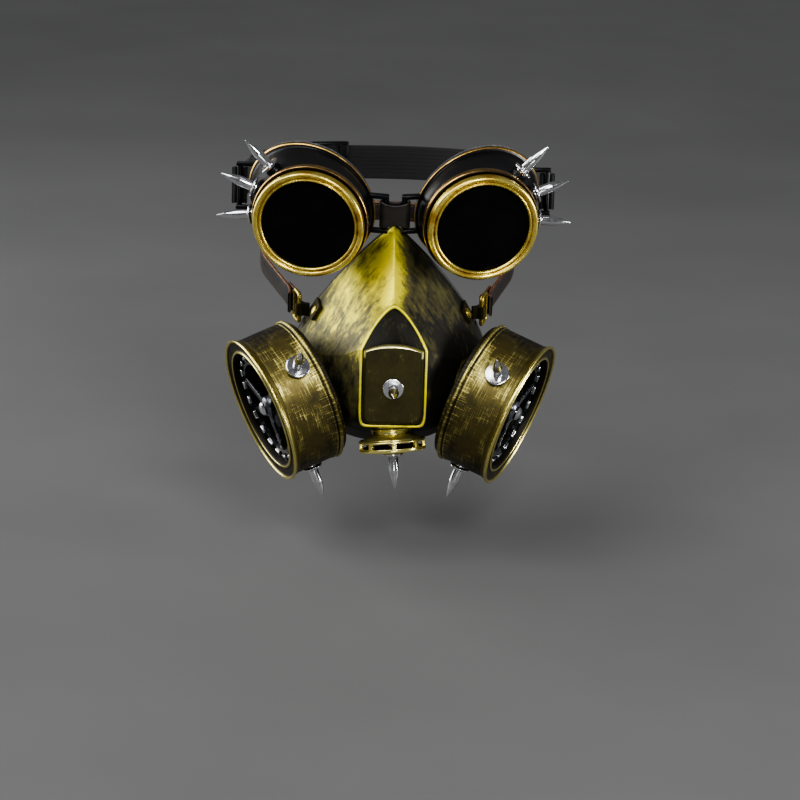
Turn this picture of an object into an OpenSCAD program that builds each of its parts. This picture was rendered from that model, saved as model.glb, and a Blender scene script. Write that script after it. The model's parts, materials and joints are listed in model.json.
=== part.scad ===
// Half-face respirator mask with two side canisters, worn with spiked round goggles.
// X runs to the wearer's left, Y to the back of the head and Z up. All sizes are in millimetres.
// The origin is in the face opening, level with the spike on the snout.

/* [Mask shell] */
// Wall thickness of the moulded shell
shell_t = 2.4; // [2.2:0.1:2.8]
// Half the width of the face opening
rim_half_w = 52; // [51:0.5:53]
// Height of the shell's top edge, on the bridge of the nose
nose_top_z = 77; // [76:0.5:78]
// Height of the shell's bottom edge, under the chin
chin_z = -50; // [-51:0.5:-48]
// How far the snout's flat front stands ahead of the cheeks
snout_reach = 74; // [73:0.5:75]
// Half the width of the snout's front
snout_half_w = 18; // [17.5:0.5:18.5]
// Height of the pointed arch on the snout, above its spring line
arch_rise = 22; // [21:0.5:23]

// How far the exhaust valve leans to the wearer's left, in degrees
exhaust_lean = 5; // [0:1:5]

/* [Canisters] */
// Radius of a canister's drum
drum_r = 39; // [38.5:0.5:39.5]
// Depth of a canister's drum, without its bezel
drum_depth = 26; // [25:0.5:27]
// How far a canister's axis is turned forwards from straight sideways, in degrees
canister_forward = 22; // [19:0.5:22]
// How far a canister's axis droops, in degrees
canister_droop = 19; // [18:0.5:20]
// Number of blades on a canister's fan
fan_blades = 9; // [7:1:9]
// Number of slots round a canister's grille
grille_slots = 20; // [16:1:22]

/* [Goggles] */
// Outer radius of a lens ring
lens_ring_r = 30; // [29.5:0.5:30.5]
// Radius of the clear opening over a lens
lens_open_r = 25; // [24.5:0.25:25.25]
// How far each goggle looks outwards, in degrees
goggle_splay = 10; // [9:0.5:11]
// How far the goggles look down, in degrees
goggle_down = 12; // [10:0.5:13]

/* [Spikes] */
// Length of a spike above its flange
spike_len = 18; // [16:0.5:20]
// Radius of a spike's flange
flange_r = 5.6; // [5:0.1:6]
// Radius of the flange of each drum's front spike
front_flange_r = 6.5; // [5.6:0.1:6.8]
// Radius of a spike at its root
spike_r = 2.8; // [2.5:0.1:3]

/* [Straps] */
// Width of the mask's strap
mask_strap_w = 12; // [11:1:13]
// Width of the goggles' strap
goggle_strap_w = 20; // [18:1:20]
// Thickness of both straps
strap_t = 1.8; // [1.6:0.1:1.8]

/* [Hidden] */
$fn = 96;
eps = 0.05;
facet_count = 48;

// ---------- colours ----------
brass = [0.62, 0.52, 0.16];
dark_brass = [0.35, 0.29, 0.12];
chrome = [0.86, 0.87, 0.88];
black = [0.05, 0.05, 0.05];
bronze = [0.4, 0.27, 0.12];

// ---------- vectors and placing ----------
function unit(v) = v / norm(v);

// Puts the local Z along w at p, with the local X as near to u as it goes.
module place(p, w, u) {
    z = unit(w);
    x = unit(u - (u * z) * z);
    y = cross(z, x);
    multmatrix([[x.x, y.x, z.x, p.x], [x.y, y.y, z.y, p.y], [x.z, y.z, z.z, p.z], [0, 0, 0, 1]]) children();
}

// The wearer's left is +X. The right side is its mirror image.
module side(left) {
    if (left) children();
    else mirror([1, 0, 0]) children();
}

// ---------- skins over loops of points ----------
// Each loop has facet_count points. A ring of loops closes on itself, and an open row of loops gets end caps.
function skin_sides(loops, closed) = [
    for (i = [0 : len(loops) - (closed ? 1 : 2)], j = [0 : facet_count - 1])
        let (k = (i + 1) % len(loops), m = (j + 1) % facet_count)
            each [[i * facet_count + j, k * facet_count + m, k * facet_count + j],
                  [i * facet_count + j, i * facet_count + m, k * facet_count + m]]
];
function cap(first, flip) = [
    for (j = [0 : facet_count / 2 - 1])
        let (a = first + j, b = first + j + 1,
             c = first + facet_count - j - 1, d = first + (facet_count - j) % facet_count)
            each [for (t = [[a, b, c], [a, c, d]]) if (t[0] != t[2] && t[1] != t[2]) flip ? [t[0], t[2], t[1]] : t]
];
module skin(loops, closed = false) {
    last = (len(loops) - 1) * facet_count;
    polyhedron(
        points = [for (l = loops) each l],
        faces = concat(skin_sides(loops, closed), closed ? [] : concat(cap(0, true), cap(last, false))),
        convexity = 10);
}

// ---------- mask shell ----------
// A loop of the shell: half width, top z, middle z, bottom z, top y, side y, bottom y,
// arch bulge, arch sharpness, squareness of the lower half.
spring_z = 20;
snout_bottom_z = -22.5;
rim_row = [rim_half_w, nose_top_z, 5, chin_z, -30, 6, -8, 1.1, 1.3, 2.3];
front_row = [snout_half_w, spring_z + arch_rise, spring_z, snout_bottom_z,
             10 - snout_reach, -snout_reach, -snout_reach, 1.54, 1.05, 14];
shell_rows = [
    rim_row,
    [49, nose_top_z - 7, 5, chin_z + 5, -37, -14, -24, 1.14, 1.28, 2.5],
    [40, nose_top_z - 17, 7, chin_z + 15, -46.5, -38, -44, 1.2, 1.22, 3],
    [27, nose_top_z - 27.5, 13, chin_z + 24, -57, -61, -60, 1.35, 1.12, 4.5],
    front_row
];

// The same loop taken in by the wall and moved back, for the inside.
function inside_row(r, back) =
    [r[0] - shell_t, r[1] - 1.6 * shell_t, r[2], r[3] + shell_t,
     r[4] + back, r[5] + back, r[6] + back, r[7], r[8], r[9]];
inside_rows = [
    inside_row(shell_rows[0], 0), inside_row(shell_rows[1], shell_t), inside_row(shell_rows[2], shell_t),
    inside_row(shell_rows[3], shell_t), inside_row(shell_rows[4], shell_t)
];

function smooth(p, q, r, s, t) =
    0.5 * ((2 * q) + (r - p) * t + (2 * p - 5 * q + 4 * r - s) * t * t + (3 * q - p - 3 * r + s) * t * t * t);
function between(rows, steps) = [
    for (i = [0 : len(rows) - 2], k = [0 : steps - 1])
        smooth(rows[max(i - 1, 0)], rows[i], rows[i + 1], rows[min(i + 2, len(rows) - 1)], k / steps),
    rows[len(rows) - 1]
];

// A point at angle a round a loop, from 0 at the top, past 90 at the wearer's left, to 180 at the bottom.
function half_point(r, a) =
    let (s = max(sin(a), 0), c = abs(cos(a)), up = a <= 90,
         x = r[0] * pow(s, 2 / (up ? r[7] : r[9])),
         h = pow(c, 2 / (up ? r[8] : r[9])))
        up ? [x, r[5] + (r[4] - r[5]) * h, r[2] + (r[1] - r[2]) * h]
           : [x, r[5] + (r[6] - r[5]) * pow(h, 1.6), r[2] - (r[2] - r[3]) * h];
function shell_loop(r) = [
    for (j = [0 : facet_count - 1])
        let (a = 360 * j / facet_count, p = half_point(r, a <= 180 ? a : 360 - a))
            a <= 180 ? p : [-p.x, p.y, p.z]
];

// The lip round the snout's front, and the recess inside it.
lip_w = 1.5;
lip_h = 1.6;
function lip_row(inset, forward) =
    [front_row[0] - inset, front_row[1] - 1.3 * inset, front_row[2], front_row[3] + inset,
     front_row[4] - forward, front_row[5] - forward, front_row[6] - forward, front_row[7], front_row[8], front_row[9]];
lip_rows = [lip_row(0, lip_h), lip_row(lip_w, lip_h), lip_row(lip_w + 0.2, 0)];

module shell_blank() {
    outside = [for (r = concat(between(shell_rows, 3), lip_rows)) shell_loop(r)];
    inside = [for (r = between(inside_rows, 2)) shell_loop(r)];
    skin(concat([for (i = [len(inside) - 1 : -1 : 0]) inside[i]], outside));
}

module face_shell() {
    color(brass) difference() {
        shell_blank();
        for (left = [true, false]) side(left) place(canister_at, canister_axis, front)
            translate([0, 0, -sleeve_in - 4]) cylinder(r = sleeve_r, h = sleeve_in + 10);
        place(exhaust_at, exhaust_axis, front) translate([0, 0, -10]) cylinder(r = stub_r + 0.05, h = 20);
        place([0, 0, 0], front, [1, 0, 0]) translate([0, 0, snout_reach - 8]) cylinder(r = screw_hole_r, h = 12);
        for (left = [true, false]) side(left) place(tab_at, tab_out, tab_along)
            translate([tab_rivet_x, 0, -6]) cylinder(r = rivet_r, h = 12);
    }
}

// The soft strip between the shell's rim and the face.
cushion_back = 5;
module face_cushion() {
    rows = [
        [rim_half_w - 0.4, nose_top_z - 0.8, 5, chin_z + 0.4, 0.3, 0.3],
        [rim_half_w + 0.3, nose_top_z - 0.2, 5, chin_z - 0.3, 2, 2],
        [rim_half_w - 1.6, nose_top_z - 2.4, 5, chin_z + 1.4, cushion_back, cushion_back],
        [rim_half_w - 5, nose_top_z - 7.5, 5, chin_z + 4.6, cushion_back, cushion_back],
        [rim_half_w - 6.4, nose_top_z - 9.6, 5, chin_z + 6, 2, 2],
        [rim_half_w - 5.4, nose_top_z - 8.4, 5, chin_z + 5.2, 0.3, 0.3]
    ];
    color(black) skin([
        for (i = [len(rows) - 1 : -1 : 0])
            let (r = rows[i])
                shell_loop([r[0], r[1], r[2], r[3], rim_row[4] + r[4], rim_row[5] + r[4], rim_row[6] + r[4],
                            rim_row[7], rim_row[8], rim_row[9]])
    ], closed = true);
}

// ---------- spikes and screws ----------
front = [0, -1, 0];
screw_hole_r = 1.35;
screw_r = 1.25;
spike_bore_r = 1.3;
spike_bore = 7;
flange_z = 1.2;
flange_t = 1.4;

// A screw-back spike, standing on z = 0, with a flange of radius r.
module spike(r = flange_r) {
    root = flange_z + flange_t;
    rotate_extrude() polygon([
        [spike_bore_r, 0], [3.3, 0], [3.3, flange_z], [r - 0.4, flange_z], [r, flange_z + 0.4],
        [r, root - 0.4], [r - 0.4, root], [spike_r - 0.5, root], [spike_r, root + 0.8],
        [spike_r, root + 0.45 * spike_len], [spike_r - 0.9, root + 0.68 * spike_len],
        [0.35, root + spike_len - 0.3], [0, root + spike_len], [0, spike_bore], [spike_bore_r, spike_bore]
    ]);
}

// Its screw, with the head against the wall's far side.
module spike_screw(wall) {
    head = 1.6;
    translate([0, 0, -wall]) {
        cylinder(r = screw_r, h = wall + spike_bore - 1.5);
        difference() {
            translate([0, 0, -head]) cylinder(r = 2.8, h = head);
            translate([-3, -0.4, -head - 1]) cube([6, 0.8, 1.7]);
        }
    }
}

// ---------- snout ----------
plate_t = 3.4;
plate_gap = 0.4;
plate_corner = 5;
plate_side_z = spring_z - 0.5;
plate_arc_rise = 3.6;
module snout_plate() {
    half = snout_half_w - lip_w - 0.2 - plate_gap;
    bottom = snout_bottom_z + lip_w + 0.2 + plate_gap;
    tall = plate_side_z + plate_arc_rise - bottom;
    arc_r = (half * half + plate_arc_rise * plate_arc_rise) / (2 * plate_arc_rise);
    color(dark_brass) difference() {
        translate([0, -snout_reach - eps, 0]) rotate([90, 0, 0]) linear_extrude(plate_t - eps) {
            intersection() {
                translate([0, plate_side_z + plate_arc_rise - arc_r]) circle(r = arc_r);
                union() {
                    translate([-half, bottom + plate_corner]) square([2 * half, tall - plate_corner]);
                    translate([plate_corner - half, bottom]) square([2 * (half - plate_corner), tall]);
                    for (s = [-1, 1]) translate([s * (half - plate_corner), bottom + plate_corner])
                        circle(r = plate_corner);
                }
            }
        }
        place([0, 0, 0], front, [1, 0, 0]) translate([0, 0, snout_reach - 2]) cylinder(r = screw_hole_r, h = 10);
    }
}
module snout_spike() {
    color(chrome) place([0, -snout_reach - plate_t, 0], front, [1, 0, 0]) spike();
}
module snout_spike_screw() {
    color(chrome) place([0, -snout_reach - plate_t, 0], front, [1, 0, 0]) spike_screw(plate_t + shell_t + eps);
}

// ---------- exhaust valve under the snout ----------
exhaust_at = [0, -59.2, -25.2];
exhaust_axis = [sin(exhaust_lean), -sin(12) * cos(exhaust_lean), -cos(12) * cos(exhaust_lean)];
stub_r = 10.5;
flare_r = 15.5;
cage_r = 18;
seat_end = 9;
cage_floor = 12.6;
cage_end = 14.4;

module exhaust_seat() {
    color(brass) place(exhaust_at, exhaust_axis, front) {
        rotate_extrude() polygon([
            [8.6, -5], [stub_r, -5], [stub_r, 4.9], [flare_r - 0.6, 7.2], [flare_r, 7.7], [flare_r, seat_end],
            [9.6, seat_end], [8.6, seat_end - 1.5]
        ]);
        // A spider across the port carries the peg that the flap is guided on.
        for (a = [30, 150, 270]) rotate(a) translate([0, -0.9, seat_end - 2.6]) cube([9, 1.8, 1.8]);
        translate([0, 0, seat_end - 2.6]) cylinder(r = 2.2, h = 1.9);
        translate([0, 0, seat_end - 2.6]) cylinder(r = 1, h = 4.2);
    }
}
module exhaust_flap() {
    color(black) place(exhaust_at, exhaust_axis, front) translate([0, 0, seat_end + eps]) difference() {
        cylinder(r = 12.5, h = 0.8);
        translate([0, 0, -1]) cylinder(r = 1.08, h = 3);
    }
}
module exhaust_cage() {
    color(brass) place(exhaust_at, exhaust_axis, front) difference() {
        rotate_extrude() polygon([
            [flare_r + 0.1, 7.9], [17.2, 7.9], [cage_r, 8.4], [cage_r, cage_end - 0.7], [cage_r - 0.7, cage_end],
            [screw_hole_r, cage_end], [screw_hole_r, cage_floor], [flare_r + 0.1, cage_floor]
        ]);
        // Eight windows round the wall.
        for (i = [0 : 7]) rotate(20 + 45 * i) translate([10, -5.6, seat_end + 0.3]) cube([20, 11.2, 3]);
    }
}
module exhaust_spike() {
    color(chrome) place(exhaust_at + cage_end * exhaust_axis, exhaust_axis, front) spike();
}
module exhaust_spike_screw() {
    color(chrome) place(exhaust_at + cage_end * exhaust_axis, exhaust_axis, front)
        spike_screw(cage_end - cage_floor + eps);
}

// ---------- canisters ----------
canister_axis = [
    cos(canister_droop) * cos(canister_forward), -cos(canister_droop) * sin(canister_forward), -sin(canister_droop)
];
canister_at = [44.1, -38.2, -12.2];
dish = 3;
drum_wall = 2.2;
drum_in_r = drum_r - drum_wall;
sleeve_r = 15;
sleeve_in = 14;
sleeve_bore_r = 11;
spigot_r = 13.94;
socket_r = 14;
back_wall = 2.5;
lug_r = 16.2;
// Each drum's spikes: the angle from the front, the height up the drum and the flange's radius.
left_drum_spikes_at = [[-34, 16, front_flange_r], [89, 10.5, flange_r]];
right_drum_spikes_at = [[-34, 11, front_flange_r], [89, 13.5, flange_r]];
function drum_spikes_at(left) = left ? left_drum_spikes_at : right_drum_spikes_at;
grille_r = 34.4;
grille_z = 24.2;
grille_t = 1.8;
fan_z = 16;
fan_h = 6.2;
fan_r = 30;
axle_r = 1.5;

module on_canister(left) {
    side(left) place(canister_at, canister_axis, front) children();
}

// Two bayonet wings at radius r and up to r_out, w wide and h high.
module wings(r_in, r_out, w, h) {
    for (a = [0, 180]) rotate(a) translate([r_in, -w / 2, 0]) cube([r_out - r_in, w, h]);
}

module port_sleeve(left) {
    color(dark_brass) on_canister(left) difference() {
        union() {
            translate([0, 0, -sleeve_in]) cylinder(r = sleeve_r, h = sleeve_in - dish - 0.15);
            translate([0, 0, -dish - 0.5]) cylinder(r = spigot_r, h = dish + 2.3);
            translate([0, 0, back_wall - dish + 0.3]) wings(12, lug_r, 8, 1.5);
        }
        translate([0, 0, -sleeve_in - 1]) cylinder(r = sleeve_bore_r, h = sleeve_in + 10);
    }
}

module drum(left) {
    floor_z = back_wall - dish;
    color(brass) on_canister(left) difference() {
        rotate_extrude() polygon([
            [socket_r, -dish], [drum_r - 2.1, -dish], [drum_r - 1.5, 0.6 - dish], [drum_r - 1.5, -0.2],
            [drum_r + 0.5, -0.2], [drum_r + 1, 0.3], [drum_r + 1, 1.2], [drum_r + 0.5, 1.7], [drum_r, 1.8],
            [drum_r, drum_depth], [drum_in_r, drum_depth], [drum_in_r, 2], [drum_in_r - 2, floor_z],
            [socket_r, floor_z]
        ]);
        translate([0, 0, -dish - 1]) rotate(45) wings(12, lug_r + 0.4, 9, back_wall + 2);
        for (q = drum_spikes_at(left)) rotate(q[0]) translate([drum_in_r - 3, 0, q[1]])
            rotate([0, 90, 0]) cylinder(r = screw_hole_r, h = 8);
    }
}

module bezel(left) {
    z = drum_depth;
    color(brass) on_canister(left) rotate_extrude() polygon([
        [grille_r + 0.2, z - 6], [drum_in_r - 0.1, z - 6], [drum_in_r - 0.1, z + eps], [drum_r + 0.3, z + eps],
        [drum_r + 0.3, z + 1.5], [drum_r + 2, z + 2.4], [drum_r + 2, z + 3.8], [drum_r + 1.4, z + 4.4],
        [drum_r + 0.8, z + 4.3],
        [drum_r - 0.4, z + 3], [34.6, z + 2.6], [33.8, z + 3.7], [33, z + 3.8], [32.4, z + 3.3], [32.4, z + eps],
        [grille_r + 0.2, z + eps]
    ]);
}

module grille(left) {
    color(chrome) on_canister(left) translate([0, 0, grille_z]) difference() {
        union() {
            difference() {
                cylinder(r = grille_r, h = grille_t);
                translate([0, 0, -1]) cylinder(r = 25, h = 5);
                for (i = [0 : grille_slots - 1]) rotate((i + 0.5) * 360 / grille_slots)
                    translate([26.8, -2.4, -1]) cube([4.6, 4.8, 5]);
            }
            for (a = [90, 210, 330]) rotate(a) translate([3, -2.2, 0]) cube([23, 4.4, grille_t]);
            translate([0, 0, -1.4]) cylinder(r = 6, h = grille_t + 2.6);
        }
        translate([0, 0, -5]) cylinder(r = axle_r, h = 12);
    }
}

module fan(left) {
    color(dark_brass) on_canister(left) translate([0, 0, fan_z]) difference() {
        union() {
            cylinder(r = 7.5, h = fan_h);
            for (i = [0 : fan_blades - 1]) rotate(i * 360 / fan_blades) translate([7, 0, fan_h / 2])
                rotate([32, 0, 0]) translate([-1, -4.2, -0.5]) cube([fan_r - 6.5, 8.4, 1]);
        }
        translate([0, 0, -5]) cylinder(r = axle_r + 0.06, h = 20);
    }
}

module fan_axle(left) {
    tail = fan_z - 0.3;
    color(chrome) on_canister(left) {
        translate([0, 0, tail]) cylinder(r = axle_r, h = grille_z + grille_t + 1.2 - tail);
        translate([0, 0, tail - 1]) cylinder(r = 2.8, h = 1);
        // A domed cap nut over the axle's front end.
        translate([0, 0, grille_z + grille_t + 1.2]) rotate_extrude() polygon([
            [0, 0], [3.8, 0], [3.8, 0.9], [3.2, 1.8], [2, 2.5], [0, 2.8]
        ]);
    }
}

module filter_pad(left) {
    color(black) on_canister(left) translate([0, 0, 2.4]) cylinder(r = 33.5, h = 11.4);
}

module on_drum_spike(left, q) {
    on_canister(left) rotate(q[0]) translate([drum_r, 0, q[1]]) rotate([0, 90, 0]) children();
}
module drum_spikes(left) {
    color(chrome) for (q = drum_spikes_at(left)) on_drum_spike(left, q) spike(q[2]);
}
module drum_spike_screws(left) {
    color(chrome) for (q = drum_spikes_at(left)) on_drum_spike(left, q) spike_screw(drum_wall + 0.13);
}

// ---------- goggles ----------
// The frame of a goggle starts at the middle of its rear edge, with Z out of the lens.
goggle_axis = [sin(goggle_splay), -cos(goggle_splay) * cos(goggle_down), -cos(goggle_splay) * sin(goggle_down)];
goggle_at = [40.9, -17.6, 87.6];
cup_half_w = 34.5;
cup_half_h = 30;
cup_shift = 4;
cup_turn = 13;
cup_wall = 2.2;
cup_front_r = 30;
cup_front_z = 22;
cup_rake = tan(14);
barrel_r = 28.6;
barrel_end = 30;
lens_t = 2;
spike_boss_r = 32.8;
goggle_spike_z = 15;
goggle_spike_angles = [45, 19, -8];

module on_goggle(left) {
    side(left) place(goggle_at, goggle_axis, [1, 0, 0]) children();
}

// An oval loop. Towards the rear edge it moves and turns to the temple, and its temple side lies further back.
function cup_loop(w, h, z) = [
    for (j = [0 : facet_count - 1])
        let (a = 360 * j / facet_count, k = 1 - max(z, 0) / cup_front_z, t = cup_turn * k,
             x = w * sin(a) * cos(t) - h * cos(a) * sin(t) + cup_shift * k,
             y = w * sin(a) * sin(t) + h * cos(a) * cos(t))
            [x, y, z - x * cup_rake * k]
];
function ease(a, b, t) = a + (b - a) * t * t * (3 - 2 * t);

module eyecup(left) {
    steps = 4;
    lip = 2;
    outer = [for (i = [1 : steps]) let (t = i / steps)
        cup_loop(ease(cup_half_w, cup_front_r, t), ease(cup_half_h, cup_front_r, t), 2.6 + (cup_front_z - 2.6) * t)];
    inner = [for (i = [steps : -1 : 0]) let (t = i / steps)
        cup_loop(ease(cup_half_w, cup_front_r, t) - cup_wall, ease(cup_half_h, cup_front_r, t) - cup_wall,
                 cup_front_z * t)];
    flange = [cup_loop(cup_half_w + lip, cup_half_h + lip, 0), cup_loop(cup_half_w + lip, cup_half_h + lip, 1.8),
              cup_loop(cup_half_w, cup_half_h, 2.6)];
    color(black) {
        strap_lugs(left);
        on_goggle(left) difference() {
            union() {
                skin(concat(inner, flange, outer), closed = true);
                rotate_extrude() polygon([
                    [lens_open_r + 0.2, 20.5], [28.5, 20.5], [29.6, 21.5], [29.6, 24], [barrel_r, 24],
                    [barrel_r, barrel_end], [lens_open_r + 0.2, barrel_end]
                ]);
                for (a = goggle_spike_angles) rotate(a) translate([29.4, 0, goggle_spike_z])
                    rotate([0, 90, 0]) cylinder(r = 4.2, h = spike_boss_r - 29.4);
                // Lugs and a bar for the bridge on the nose side.
                for (v = [-1, 1]) translate([-39.6, v * 8.8 - 1.2, 7.7]) cube([10.4, 2.4, 3.4]);
                translate([bridge_bar.x, -9, bridge_bar.z]) rotate([-90, 0, 0]) cylinder(r = bar_r, h = 18);
            }
            for (a = goggle_spike_angles) rotate(a) translate([20, 0, goggle_spike_z])
                rotate([0, 90, 0]) cylinder(r = screw_hole_r, h = 20);
        }
    }
}
bar_r = 1.5;
bridge_bar = [-38.2, 0, 9.4];
temple_bar = [45.5, 0, -10.4];

// Lugs and a bar for the strap, square to the strap.
module strap_lugs(left) {
    half = goggle_strap_w / 2;
    side(left) on_goggle_strap() translate([goggle_bar.x, goggle_bar.y, 0]) {
        translate([0, 0, -half - 1]) cylinder(r = bar_r, h = 2 * half + 2);
        for (v = [-1, 1]) translate([0, 0, v * (half + 1.8)]) rotate(lug_turn) translate([-8, -2, -1.2])
            cube([9.8, 4, 2.4]);
    }
}
lug_turn = 12;

module eye_cushion(left) {
    rows = [[0.6, -eps], [1, -2.4], [-1.4, -5], [-4.6, -5], [-6.4, -2.4], [-5.2, -eps]];
    color(black) on_goggle(left) skin([
        for (i = [len(rows) - 1 : -1 : 0])
            let (r = rows[i]) cup_loop(cup_half_w + r[0], cup_half_h + r[0], r[1])
    ], closed = true);
}

module clamp_ring(left) {
    color(bronze) on_goggle(left) rotate_extrude() polygon([
        [barrel_r + eps, 24 + eps], [30.9, 24 + eps], [31.5, 24.7], [31.5, 27.2], [31, 27.9], [30.2, 27.9],
        [barrel_r + eps, 27]
    ]);
}
module lens(left) {
    color([0.03, 0.03, 0.04]) on_goggle(left) translate([0, 0, barrel_end]) cylinder(r = 26.6, h = lens_t);
}
module lens_ring(left) {
    seat = barrel_end + lens_t + 0.1;
    r = lens_ring_r;
    o = lens_open_r;
    color(brass) on_goggle(left) rotate_extrude() polygon([
        [barrel_r + 0.1, 29], [r - 0.6, 29], [r, 29.6], [r, seat + 0.8], [r - 0.5, seat + 1.8],
        [r - 1.4, seat + 2.2], [r - 2.3, seat + 1.8], [r - 2.9, seat + 1.6], [o + 1.4, seat + 1.9],
        [o + 0.5, seat + 1.6], [o, seat + 0.9], [o, seat], [26.8, seat], [26.8, 30.2], [barrel_r + 0.1, 30.2]
    ]);
}

module on_goggle_spikes(left, r) {
    on_goggle(left) for (a = goggle_spike_angles) rotate(a) translate([r, 0, goggle_spike_z])
        rotate([0, 90, 0]) children();
}
module goggle_spikes(left) {
    color(chrome) on_goggle_spikes(left, spike_boss_r) spike();
}
module goggle_spike_screws(left) {
    color(chrome) on_goggle_spikes(left, spike_boss_r) spike_screw(5);
}

// ---------- straps ----------
// A strap is drawn in plan, as the band's outline, and extruded by its width.
// It runs from a bar at a, straight to the circle of radius r about [0, c], and round the back.
function tangent_angle(a, c, r) =
    let (d = [a.x, a.y - c]) atan2(d.y, d.x) + acos(r / norm(d));
// Half of the band's edge, off outside its middle line: a straight run and an arc to the back of the head.
function band_edge(a, c, r, off) =
    let (t = tangent_angle(a, c, r), run = unit([r * cos(t), c + r * sin(t)] - a), steps = 24)
        concat([a + off * [run.y, -run.x]],
               [for (i = [0 : steps]) let (q = t + (90 - t) * i / steps) [0, c] + (r + off) * [cos(q), sin(q)]]);
function flip_plan(points) = [for (i = [len(points) - 2 : -1 : 0]) [-points[i].x, points[i].y]];
module band_plan(a, c, r, eye_r) {
    outside = band_edge(a, c, r, strap_t / 2);
    inside = band_edge(a, c, r, -strap_t / 2);
    outline = concat(outside, flip_plan(outside));
    inline = concat(inside, flip_plan(inside));
    difference() {
        union() {
            polygon(concat(outline, [for (i = [len(inline) - 1 : -1 : 0]) inline[i]]));
            for (m = [-1, 1]) translate([m * a.x, a.y]) circle(r = eye_r + strap_t);
        }
        for (m = [-1, 1]) translate([m * a.x, a.y]) circle(r = eye_r);
    }
}
eye_r = 2;

// The mask's strap climbs to the back of the head, and the goggles' strap falls a little.
mask_strap_rise = 9;
mask_strap_z = 25.5;
mask_strap_c = 72;
mask_strap_r = 72;
ring_inner = [50, -6.5];
ring_len = 9;
module on_mask_strap() {
    translate([0, 0, mask_strap_z]) rotate([mask_strap_rise, 0, 0]) children();
}
mask_run = let (t = tangent_angle(ring_inner, mask_strap_c, mask_strap_r))
    unit([mask_strap_r * cos(t), mask_strap_c + mask_strap_r * sin(t)] - ring_inner);
ring_outer = ring_inner + ring_len * mask_run;

module mask_strap() {
    color(black) on_mask_strap() translate([0, 0, -mask_strap_w / 2]) linear_extrude(mask_strap_w)
        band_plan(ring_outer, mask_strap_c, mask_strap_r, eye_r);
}

goggle_strap_fall = -6;
goggle_strap_c = 75;
goggle_strap_r = 79;
temple = goggle_point(temple_bar);
goggle_bar = [temple.x, temple.y / cos(goggle_strap_fall)];
goggle_strap_z = temple.z - temple.y * tan(goggle_strap_fall);
module on_goggle_strap() {
    translate([0, 0, goggle_strap_z]) rotate([goggle_strap_fall, 0, 0]) children();
}
module goggle_strap() {
    color(black) on_goggle_strap() translate([0, 0, -goggle_strap_w / 2]) linear_extrude(goggle_strap_w)
        band_plan(goggle_bar, goggle_strap_c, goggle_strap_r, eye_r + 0.6);
}

// A three-bar slider on the curved part of a strap. Its middle bar lies outside the band and its end bars inside.
slider_gap = 0.3;
slider_rail = 2;
slider_bar_t = 1.4;
module slider(r, w) {
    slot_in = r - strap_t / 2 - slider_gap;
    slot_out = r + strap_t / 2 + slider_gap;
    bar_h = w + 2 * slider_gap + 1;
    arc_bar(slot_out, slider_bar_t, bar_h, -2.5, 2.5);
    for (e = [-1, 1]) arc_bar(slot_in - slider_bar_t, slider_bar_t, bar_h, e * 9 - 2, e * 9 + 2);
    for (e = [-1, 1]) translate([0, 0, e * (w / 2 + slider_gap + slider_rail / 2)])
        arc_bar(slot_in - slider_bar_t - 0.2, slot_out - slot_in + 2 * slider_bar_t + 0.4, slider_rail, -11.3, 11.3);
}
// An arc from r outwards by t, h high, between two angles about the back of the head.
module arc_bar(r, t, h, from, to) {
    rotate(90 + from) rotate_extrude(angle = to - from) translate([r, -h / 2]) square([t, h]);
}
slider_turn = 28;
module mask_strap_slider() {
    color(chrome) on_mask_strap() translate([0, mask_strap_c, 0]) rotate(-slider_turn)
        slider(mask_strap_r, mask_strap_w);
}
module goggle_strap_slider() {
    color(black) on_goggle_strap() translate([0, goggle_strap_c, 0]) rotate(slider_turn)
        slider(goggle_strap_r, goggle_strap_w);
}

// A rectangular wire loop between the tab's bar and the strap's eye.
wire_r = 1.1;
ring_bend = 2.2;
ring_half_h = mask_strap_w / 2 + 2.2;
module strap_ring(left) {
    long = ring_half_h - ring_bend;
    color(brass) side(left) on_mask_strap() translate([ring_inner.x, ring_inner.y, 0])
        rotate([0, 0, atan2(mask_run.y, mask_run.x)]) rotate([90, 0, 0]) {
            for (x = [0, ring_len]) translate([x, -long, 0]) rotate([-90, 0, 0]) cylinder(r = wire_r, h = 2 * long);
            for (y = [-ring_half_h, ring_half_h]) translate([ring_bend, y, 0]) rotate([0, 90, 0])
                cylinder(r = wire_r, h = ring_len - 2 * ring_bend);
            for (q = [[ring_len - ring_bend, long, 0], [ring_bend, long, 90], [ring_bend, -long, 180],
                      [ring_len - ring_bend, -long, 270]])
                translate([q[0], q[1], 0]) rotate(q[2]) rotate_extrude(angle = 90)
                    translate([ring_bend, 0]) circle(r = wire_r);
        }
}

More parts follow.
